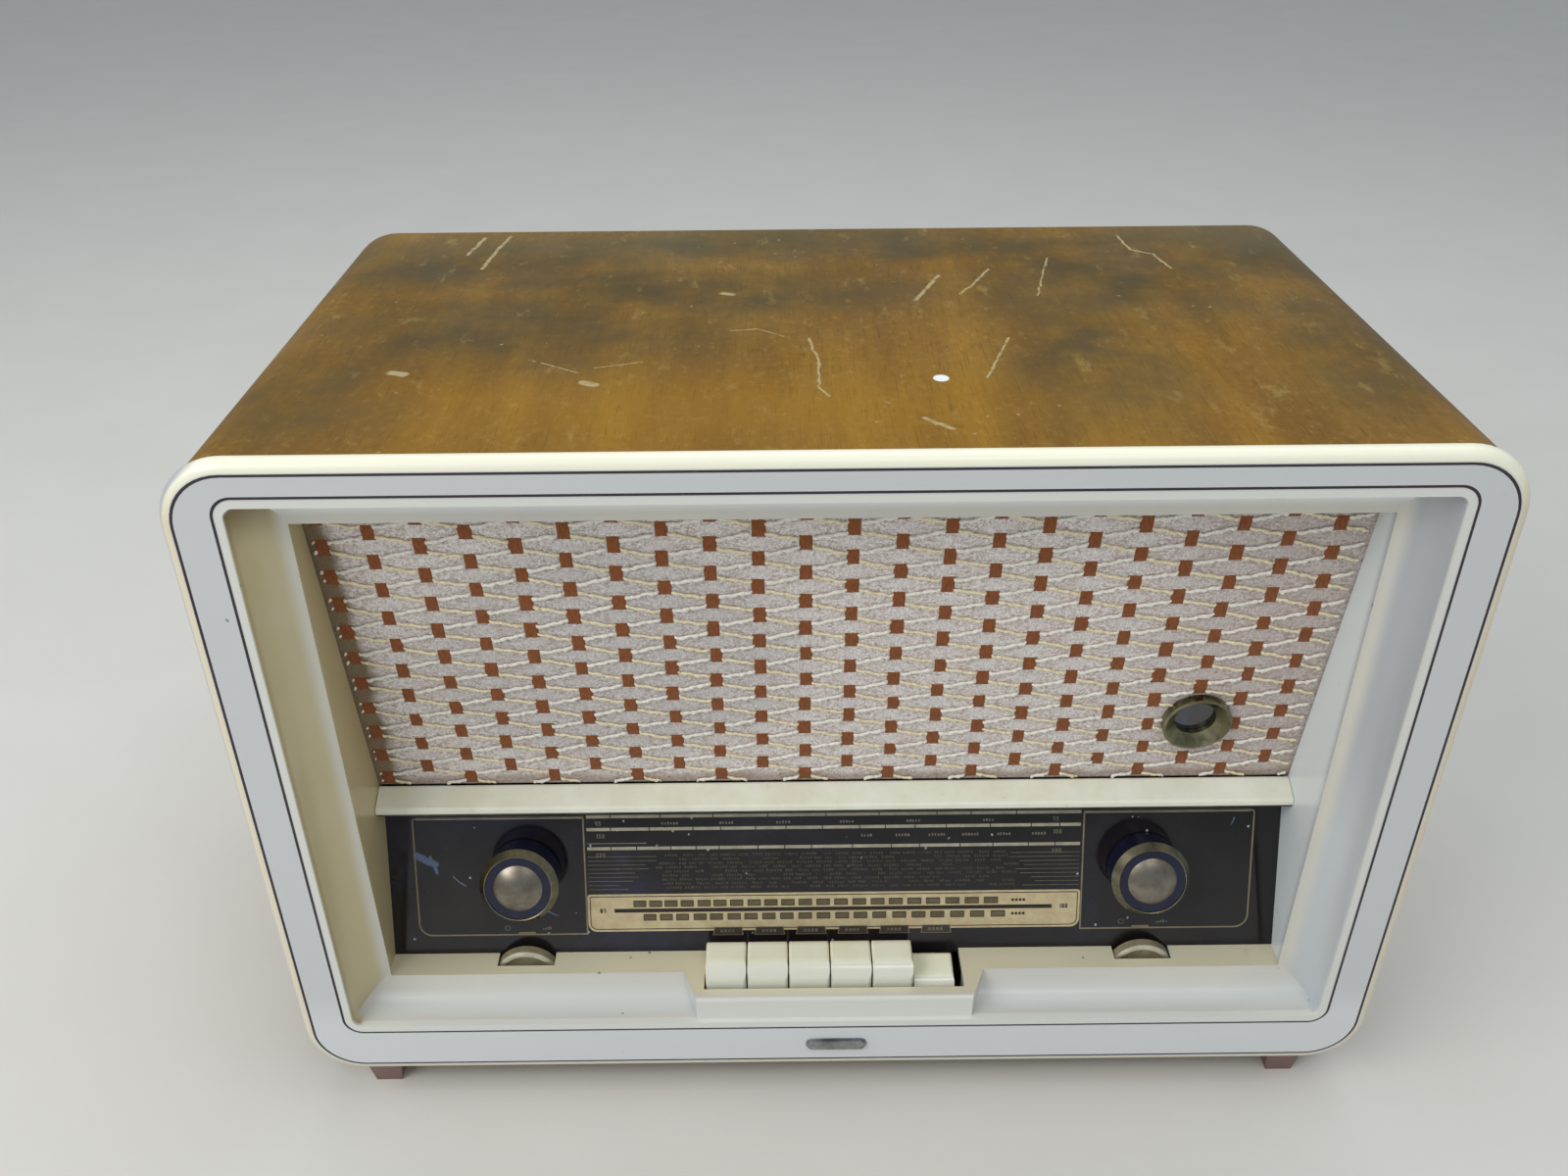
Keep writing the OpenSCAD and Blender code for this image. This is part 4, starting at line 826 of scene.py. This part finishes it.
def rounded(x0, x1, y0, y1, r, steps=5):
    """Corners of a rounded rectangle, anticlockwise. r is one radius, or four from lower left on."""
    rs = r if isinstance(r, (list, tuple)) else (r,) * 4
    out = []
    corners = ((x0, y0, 1, 1, 180), (x1, y0, -1, 1, 270), (x1, y1, -1, -1, 0), (x0, y1, 1, -1, 90))
    for (cx, cy, sx, sy, start), rad in zip(corners, rs):
        for i in range(steps + 1):
            a = math.radians(start + 90 * i / steps)
            out.append((cx + sx * rad + rad * math.cos(a), cy + sy * rad + rad * math.sin(a)))
            if rad == 0:
                break
    return out


class Plates:
    """Thin plates of one ink, in millimetres on a plane, made into one mesh."""

    def __init__(self):
        self.bm = bmesh.new()

    def plate(self, outline, base=PRINT_GAP, thick=PRINT_T):
        """A flat plate with that outline, its back at base."""
        low = [self.bm.verts.new((x * MM, y * MM, base * MM)) for x, y in outline]
        high = [self.bm.verts.new((x * MM, y * MM, (base + thick) * MM)) for x, y in outline]
        self.bm.faces.new(high)
        self.bm.faces.new(low[::-1])
        n = len(outline)
        for i in range(n):
            j = (i + 1) % n
            self.bm.faces.new((low[i], low[j], high[j], high[i]))

    def box(self, x0, x1, y0, y1, r=0.0, **where):
        self.plate(rounded(x0, x1, y0, y1, r, 3) if r else [(x0, y0), (x1, y0), (x1, y1), (x0, y1)], **where)

    def frame(self, x0, x1, y0, y1, r, width, base=PRINT_GAP, thick=PRINT_T):
        """A closed line of that width just inside a rounded rectangle."""
        rs = r if isinstance(r, (list, tuple)) else (r,) * 4
        outer = rounded(x0, x1, y0, y1, [max(q, 0.01) for q in rs])
        inner = rounded(x0 + width, x1 - width, y0 + width, y1 - width, [max(q - width, 0.01) for q in rs])
        rings = [[self.bm.verts.new((x * MM, y * MM, h * MM)) for x, y in line]
                 for line in (outer, inner) for h in (base, base + thick)]
        n = len(outer)
        for a, b in ((0, 1), (1, 3), (3, 2), (2, 0)):
            for i in range(n):
                j = (i + 1) % n
                self.bm.faces.new((rings[a][i], rings[a][j], rings[b][j], rings[b][i]))

    def digit(self, n, x, y, h, t):
        """A plain seven-stroke figure of height h, its foot at x, y."""
        w, half = h * 0.52, h / 2
        strokes = {
            "a": (0, w, h - t, h), "g": (0, w, half - t / 2, half + t / 2), "d": (0, w, 0, t),
            "f": (0, t, half, h), "b": (w - t, w, half, h), "e": (0, t, 0, half), "c": (w - t, w, 0, half),
        }
        lit = ("abcdef", "bc", "abged", "abgcd", "fgbc", "afgcd", "afgedc", "abc", "abcdefg", "abcdfg")[n]
        for s in lit:
            x0, x1, y0, y1 = strokes[s]
            self.box(x + x0, x + x1, y + y0, y + y1, base=ON_BAR)

    def number(self, value, x, y, h, t):
        for ch in str(value):
            self.digit(int(ch), x, y, h, t)
            x += h * 0.72

    def piece(self, name, finish):
        bmesh.ops.recalc_face_normals(self.bm, faces=self.bm.faces)
        add_piece(name, self.bm, finish, dial_matrix())


def knob_fields(ink):
    """Border of the two knob fields, open behind the scale block."""
    for side in (-1, 1):
        x0, x1 = sorted((side * (PANEL_X + BORDER_GAP), side * BORDER_X))
        corner = [0.0, 7, 2, 0.0] if side > 0 else [7, 0.0, 0.0, 2]
        ink.gold.frame(x0, x1, BORDER_LOW, BORDER_TOP, corner, 0.8)
        bar = sorted((side * (PANEL_X + BORDER_GAP), side * (BORDER_X - 2)))
        ink.pale.box(*bar, BORDER_TOP - 1.3, BORDER_TOP - 0.2)


def scale_bars(ink, rng):
    """Three bars across the scale, with a figure at each end and dark ticks."""
    for v, spread, value in zip(BAR_MID, (34.0, 26.0, 23.5), BAR_VALUES):
        low, high = v - BAR_T / 2, v + BAR_T / 2
        ink.pale.box(-PANEL_X, PANEL_X, low, high)
        for x in (-122, 112):
            ink.names.number(value, x, low - 4.0, 2.4, 0.5)
        x = -PANEL_X + 12
        while x < PANEL_X - 8:
            ink.dark.box(x, x + 0.5, low, high, base=ON_BAR)
            x += spread * rng.uniform(0.5, 0.9)


def upper_bands(ink, rng):
    """Short groups of marks below the two upper bars."""
    for v, first, pitch in ((BAR_MID[0] - 4.6, -88, 34), (BAR_MID[1] - 5.4, 14, 17)):
        x = first
        while x < 104:
            for k in range(rng.choice((4, 5, 6))):
                left = x + k * 1.5
                ink.names.box(left, left + rng.uniform(0.7, 1.1), v, v + rng.uniform(1.1, 1.5))
            x += pitch * rng.uniform(0.85, 1.15)
    ink.names.box(-PANEL_X, -96, BAR_MID[1] - 8.0, BAR_MID[1] - 7.4)


def town_rows(ink, rng):
    """Ruled lines at both ends of the medium band, and rows of short marks between them."""
    for k in range(TOWN_ROWS):
        v = PANEL_TOP + 2.6 + ROW_PITCH * k
        for side in (-1, 1):
            reach = 88 + 3.2 * (TOWN_ROWS - k) * rng.uniform(0.2, 1.0)
            ink.names.box(*sorted((side * PANEL_X, side * reach)), v, v + 0.28)
        x = -92 + rng.uniform(0, 7)
        while x < 88:
            count = rng.choice((3, 4, 5, 6))
            if rng.random() < 0.9:
                for c in range(count):
                    left = x + c * MARK_PITCH
                    ink.towns.box(left, left + rng.uniform(0.7, 1.1), v + 0.2, v + rng.uniform(1.2, 1.7))
            x += count * MARK_PITCH + rng.uniform(0.8, 3.4)


def channel_panel(ink, rng):
    """The buff panel: a frame, a line, figures and two rows of channel boxes."""
    ink.buff.plate(rounded(-PANEL_X - 1, PANEL_X + 1, PANEL_LOW, PANEL_TOP, (4.5, 4.5, 1.5, 1.5)))
    ink.dark.frame(-PANEL_X + 0.1, PANEL_X - 0.1, PANEL_LOW + 1.1, PANEL_TOP - 1.1, (3.6, 3.6, 0.8, 0.8),
                      0.45, base=ON_PANEL)
    ink.dark.box(-113.7, 112.9, 21.2, 23.3, base=ON_PANEL)
    for value, x in ((87, -121), (100, 116.5)):
        ink.dark.number(value, x, 21.1, 2.3, 0.5)
    for v, count, first, last in CHANNEL_ROWS:
        for k in range(count):
            share = k / (count - 1)
            # the channels lie wider apart towards the right
            x = first + (last - first) * share * (0.89 + 0.11 * share) + rng.uniform(-0.25, 0.25)
            half = (6.7 + 0.8 * share) / 2
            ink.box_edges.box(x - half, x + half, v - 1.85, v + 1.85, 0.4, base=ON_PANEL)
            ink.boxes.box(x - half + 0.4, x + half - 0.4, v - 1.35, v + 1.35, base=ON_BOX)
            ink.dark.number(rng.choice((88, 90, 92, 94, 96, 98)), x - 1.3, v - 0.75, 1.5, 0.28)
    for v, *_ in CHANNEL_ROWS:
        for c in range(4):
            ink.dark.box(92 + c * 1.9, 93.3 + c * 1.9, v - 0.7, v + 0.7, base=ON_PANEL)


def key_tabs(ink):
    """A dark tab above each piano key, with four short marks."""
    for k in range(6):
        x = TAB_FIRST + TAB_PITCH * k
        edge = [(x - 8.0, 8.0), (x + 8.0, 8.0), (x + 7.2, 12.6), (x - 7.2, 12.6)]
        inner = [(x - 7.5, 8.3), (x + 7.5, 8.3), (x + 6.8, 12.2), (x - 6.8, 12.2)]
        ink.tab_edges.plate(edge, base=ON_PANEL)
        ink.tabs.plate(inner, base=ON_BOX)
        for c in range(4):
            ink.names.box(x - 4 + c * 2, x - 2.7 + c * 2, 9.5, 11.1, base=ON_TAB)


def knob_marks(ink):
    """Small marks below each knob: a bar, a rising wedge and a ring."""
    for side in (-1, 1):
        x = side * KNOB_X
        bar = [(x - 5, 9.2), (x + 5, 9.2), (x + 4.2, 11.0), (x - 4.2, 11.0)]
        ink.tab_edges.plate(bar, base=ON_PANEL)
        for k in range(4):
            ink.names.box(x + 8 + k * 1.2, x + 8.8 + k * 1.2, 12.2, 12.8 + 0.4 * k)
        ink.names.frame(x - 11.5, x - 8.5, 11.9, 14.5, 1.2, 0.35)


def make_dial_print():
    """All the print on the dial glass, one mesh for each ink."""
    rng = random.Random(5)
    ink = SimpleNamespace(**{key: Plates() for key in INKS})
    knob_fields(ink)
    scale_bars(ink, rng)
    upper_bands(ink, rng)
    town_rows(ink, rng)
    channel_panel(ink, rng)
    key_tabs(ink)
    knob_marks(ink)
    for key, (piece, *finish) in INKS.items():
        getattr(ink, key).piece(piece, print_ink(*finish))


# -------- loudspeaker cloth

# Sizes of the cloth lie on it: x from its middle, v up it from its foot.
CLOTH_HALF, CLOTH_LEN = 233.2, 180.4
SHOWN_HALF, SHOWN_LOW, SHOWN_HIGH = 226.4, 1.0, 172.6
COLUMN, SQUARE_PITCH = 20.8, 16.22
COLUMN_X, ROW_V = -35.6, 159.5        # a column that isn't half-dropped, and a row of it
ROWS = (-1, 12)                       # first row, and the one after the last
SQUARE_W, SQUARE_H = 6.0, 8.4
SQUARE_SUNK, RIBS, RIB_H = 0.42, 5, 0.16
EYE_X, EYE_V, EYE_R = 174.0, 41.0, 13.5
SPEAKER_X, SPEAKER_V = -107.0, 82.8
SPEAKER_HALF_W, SPEAKER_HALF_H = 88.0, 67.0
OVER_TOP, OVER_FOOT = 2.7, 2.4        # where a thread crosses a square, from its middle
RISING_R, FALLING_R = 0.95, 0.84
THREAD_SIDES, THREAD_STRIDE, THREAD_TWIST, THREAD_DIP = 7, 0.9, 2.6, 2.0
MESH_COLUMNS, MESH_ROWS = 160, 62


def sag(x, v):
    """How far the stretched cloth bows, in millimetres; held at its edges."""
    across = 1 - (x / CLOTH_HALF) ** 2
    along = math.sin(math.pi * v / CLOTH_LEN)
    return 0.25 * across * along + 0.12 * math.sin(x * 0.11) * math.sin(v * 0.09) * along


def square_places():
    """Column number, row number and centre of each brown square."""
    first = math.ceil((-SHOWN_HALF - COLUMN_X) / COLUMN)
    last = math.floor((SHOWN_HALF - COLUMN_X) / COLUMN)
    for c in range(first, last + 1):
        for r in range(*ROWS):
            yield c, r, COLUMN_X + c * COLUMN, square_v(c, r)


def square_v(c, r):
    """Height of a square along the cloth; every other column is half-dropped."""
    return ROW_V - SQUARE_PITCH * r - (SQUARE_PITCH / 2 if c % 2 else 0)


def between_squares(f):
    """1 on the floats of light warp between the squares of one column."""
    x, v, _ = f.split(f.wobbled(220, 1.2))
    across = f.both(f.math("SUBTRACT", x, COLUMN_X * MM), math.pi / (COLUMN * MM))
    along = f.both(f.math("SUBTRACT", v, ROW_V * MM), 2 * math.pi / (SQUARE_PITCH * MM))
    return f.step(f.both(f.math("COSINE", across), f.math("COSINE", along)), -0.45, -0.9)


def cloth_base():
    """Melange of pinkish-grey yarn, lighter under each column of squares, greyer over the open oval; a
    painted shadow along its left edge and painted shade over its right part.
    """
    f = Finish("cloth_weave", Roughness=0.95, Sheen_Weight=0.25, Sheen_Roughness=0.5)
    x, v, _ = f.split()
    grain = f.grain((900, 1100, 900), 4, 0.75)
    slub = f.grain((260, 900, 300), 3, 0.7, (0, 0, 0.15))
    blotch = f.noise(55, 5, 0.65)
    clump = f.grain((420, 520, 300), 3, 0.7)
    base = f.fade(grain, "baaaa3", "fff9f6", 0.36, 0.64)
    base = f.tint(base, f.step(clump, 0.5, 0.36), 0.55, "a8958f")
    base = f.tint(base, f.step(clump, 0.52, 0.66), 0.5, "f8f5f2")
    base = f.tint(base, f.step(slub, 0.5, 0.7), 0.6, "efe9e2")
    base = f.tint(base, f.step(slub, 0.47, 0.33), 0.5, "93786c")
    base = f.tint(base, f.step(blotch, 0.5, 0.72), 0.3, "cba693")
    warp = f.grain((1500, 260, 300), 3, 0.6)
    light = f.fade(warp, "c3bbb8", "f3efec", 0.35, 0.62)
    base = f.tint(base, between_squares(f), 0.6, light)
    oval = f.blob((SPEAKER_X * MM, SPEAKER_V * MM, 0), (SPEAKER_HALF_W, SPEAKER_HALF_H, 400), 0.22)
    base = f.tint(base, oval, 0.22, "74767c")
    # painted shadow: a dark olive strip along the cloth's left edge, where the left wall shades it
    left = f.step(f.math("ADD", x, f.both(f.noise(40, 4), 0.016)), -205 * MM, -213 * MM)
    base = f.tint(base, left, 0.88, "6a5018")
    # painted shade: the right part of the cloth darkened towards its edge
    dim = f.step(f.math("ADD", x, f.both(f.noise(30, 4), 0.03)), 120 * MM, 222 * MM)
    base = f.tint(base, dim, 0.34, "8a6a5e")
    foot = f.step(f.math("ADD", v, f.both(f.noise(50, 4), -0.01)), 3 * MM, -2 * MM)
    base = f.tint(base, foot, 0.55, "8a6a4a")
    f.tone(base)
    relief = f.math("ADD", grain, f.both(slub, 0.7))
    f.relief(relief, 0.9, 0.45)
    return f


def yarn(name, one, two, strands):
    """Yarn with a slanting twist and loose fibres."""
    f = Finish(name, Roughness=0.9, Sheen_Weight=0.3, Sheen_Roughness=0.4)
    twist = f.grain(strands, 3, 0.6, (0, 0, 0.6))
    fuzz = f.noise(900, 4, 0.7)
    base = f.fade(twist, one, two, 0.35, 0.65)
    base = f.tint(base, f.step(fuzz, 0.5, 0.75), 0.3, one)
    f.tone(base)
    f.relief(f.math("ADD", twist, fuzz), 0.6, 0.3)
    return f


def cloth_piece(name, bm, finish):
    return add_piece(name, bm, finish, cloth_matrix(), smooth=True)


def make_cloth():
    """The base cloth: one bowed sheet with a hole for the magic eye."""
    bm = bmesh.new()
    across = [-CLOTH_HALF + 2 * CLOTH_HALF * i / MESH_COLUMNS for i in range(MESH_COLUMNS + 1)]
    up = [CLOTH_LEN * j / MESH_ROWS for j in range(MESH_ROWS + 1)]
    grid = [[bm.verts.new((x * MM, v * MM, (sag(x, v) - 0.45) * MM)) for x in across] for v in up]
    for low, high in zip(grid, grid[1:]):
        for i in range(MESH_COLUMNS):
            corners = (low[i], low[i + 1], high[i + 1], high[i])
            x = sum(p.co.x for p in corners) / 4 / MM
            v = sum(p.co.y for p in corners) / 4 / MM
            if math.hypot(x - EYE_X, v - EYE_V) > EYE_R:
                bm.faces.new(corners)
    for p in [p for p in bm.verts if not p.link_faces]:
        bm.verts.remove(p)
    o = cloth_piece("speaker_fabric", bm, cloth_base())
    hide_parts("speaker_cloth")
    return o


def square_pad(bm, rng, x0, v0):
    """One square about x0, v0: a ribbed pad of warp yarns, domed along them."""
    x0 += rng.uniform(-0.5, 0.5)
    v0 += rng.uniform(-0.35, 0.35)
    w, h = SQUARE_W * rng.uniform(0.9, 1.08), SQUARE_H * rng.uniform(0.92, 1.08)
    columns, along = 2 * RIBS, 5
    grid = []
    for j in range(along + 1):
        line = []
        for i in range(columns + 1):
            u, t = i / columns, j / along
            x = x0 + (u - 0.5) * w
            v = v0 + (t - 0.5) * h + rng.uniform(-0.12, 0.12) * (1 if j in (0, along) else 0.3)
            v = min(max(v, SHOWN_LOW), SHOWN_HIGH)
            crown = math.sin(math.pi * min(max(t, 0.02), 0.98)) ** 0.5
            rib = RIB_H if i % 2 else 0.0
            edge = i in (0, columns) or j in (0, along)
            z = sag(x, v) - SQUARE_SUNK + (0.04 if edge else SQUARE_SUNK * crown + rib)
            line.append(bm.verts.new((x * MM, v * MM, z * MM)))
        grid.append(line)
    for low, high in zip(grid, grid[1:]):
        for i in range(columns):
            bm.faces.new((low[i], low[i + 1], high[i + 1], high[i]))


def make_squares():
    """Brown floats, a pad at each place of the pattern that shows."""
    rng = random.Random(11)
    bm = bmesh.new()
    for _, _, x, v in square_places():
        inside = abs(x) < SHOWN_HALF - 1.5 and SHOWN_LOW - 2 < v < SHOWN_HIGH + 2
        if inside and math.hypot(x - EYE_X, v - EYE_V) >= EYE_R + 1.5:
            square_pad(bm, rng, x, v)
    finish = yarn("yarn_brown", "78421e", "925326", (1400, 320, 400))
    return cloth_piece("fabric_squares", bm, finish)


def zigzag(row, odd, x):
    """Height along the cloth of one thread, and whether it rises there.

    It crosses the squares of one row near their tops, and those of the columns between near their feet."""
    turn = (x - COLUMN_X) / COLUMN - odd
    c = math.floor(turn)
    share = turn - c
    rising = c % 2 == 0
    low = square_v(odd, row) + OVER_TOP
    high = square_v(odd, row) + SQUARE_PITCH / 2 - OVER_FOOT
    half = SQUARE_W / 2 / COLUMN
    t = min(max((share - half) / (1 - 2 * half), 0.0), 1.0)
    t = t * t * (3 - 2 * t) * 0.5 + t * 0.5
    return (low + (high - low) * t if rising else high + (low - high) * t), rising


def thread_ring(bm, x, v, z, thick):
    """One cross-section of a thread: two strands that twist along it."""
    ring = []
    for k in range(THREAD_SIDES):
        a = 2 * math.pi * k / THREAD_SIDES
        lobed = thick * (1 + 0.16 * math.cos(2 * (a - x * THREAD_TWIST)))
        point = Vector((x, v + lobed * math.cos(a), z + 0.62 * lobed * math.sin(a)))
        ring.append(bm.verts.new(point * MM))
    return ring


def thread_rings(bm, rng, row, odd):
    """The rings of one thread from left to right, with None where it is hidden."""
    count = int(2 * SHOWN_HALF / THREAD_STRIDE)
    slow = [rng.uniform(0, 6.28) for _ in range(6)]
    rings = []
    for i in range(count + 1):
        x = -SHOWN_HALF + 2 * SHOWN_HALF * i / count
        v, rising = zigzag(row, odd, x)
        v += 0.28 * math.sin(x * 0.21 + slow[0]) + 0.22 * math.sin(x * 0.9 + slow[1])
        v += rng.uniform(-0.09, 0.09)
        slubs = 0.28 * math.sin(x * 1.7 + slow[2]) * math.sin(x * 0.47 + slow[3])
        thick = (RISING_R if rising else FALLING_R) * (1 + slubs + rng.uniform(-0.16, 0.16))
        # it dips into the cloth under each column of squares
        share = ((x - COLUMN_X) / COLUMN) % 1.0
        under = max(0.0, 1 - min(share, 1 - share) * COLUMN / (SQUARE_W * 0.56))
        z = sag(x, v) - 0.22 + 0.6 * thick - THREAD_DIP * min(1.0, under * 2.6)
        seen = SHOWN_LOW < v < SHOWN_HIGH and math.hypot(x - EYE_X, v - EYE_V) > EYE_R - 0.5
        rings.append((thread_ring(bm, x, v, z, thick), rising) if seen else None)
    return rings


def skin_thread(bm, rings):
    """Joins neighbouring rings and closes the ends of each run."""
    for a, b in zip(rings, rings[1:]):
        if a and b:
            for k in range(THREAD_SIDES):
                n = (k + 1) % THREAD_SIDES
                face = bm.faces.new((a[0][k], b[0][k], b[0][n], a[0][n]))
                face.material_index = 0 if b[1] else 1
    run = [None, *rings, None]
    for before, here, after in zip(run, run[1:], run[2:]):
        if here and (not before or not after) and (before or after):
            bm.faces.new(here[0] if not after else here[0][::-1])


def make_threads():
    """Slubby cream threads that run in zigzags between the rows of squares."""
    rng = random.Random(23)
    bm = bmesh.new()
    for row in range(*ROWS):
        for odd in (0, 1):
            skin_thread(bm, thread_rings(bm, rng, row, odd))
    bmesh.ops.recalc_face_normals(bm, faces=bm.faces)
    white = yarn("yarn_white", "fbf8f0", "e4dccd", (700, 1500, 900))
    straw = yarn("yarn_straw", "fbf0d2", "e2d0a6", (700, 1500, 900))
    o = cloth_piece("fabric_threads", bm, white)
    o.data.materials.append(straw.material)
    return o


def make_fabric():
    """The loudspeaker cloth: one sheet stretched over the baffle, with its squares and threads."""
    cloth = make_cloth()
    pieces = [make_squares(), make_threads()]


# -------- all together

make_camera()
make_floor()
make_light()
paint_frame()
make_dial_print()
make_fabric()
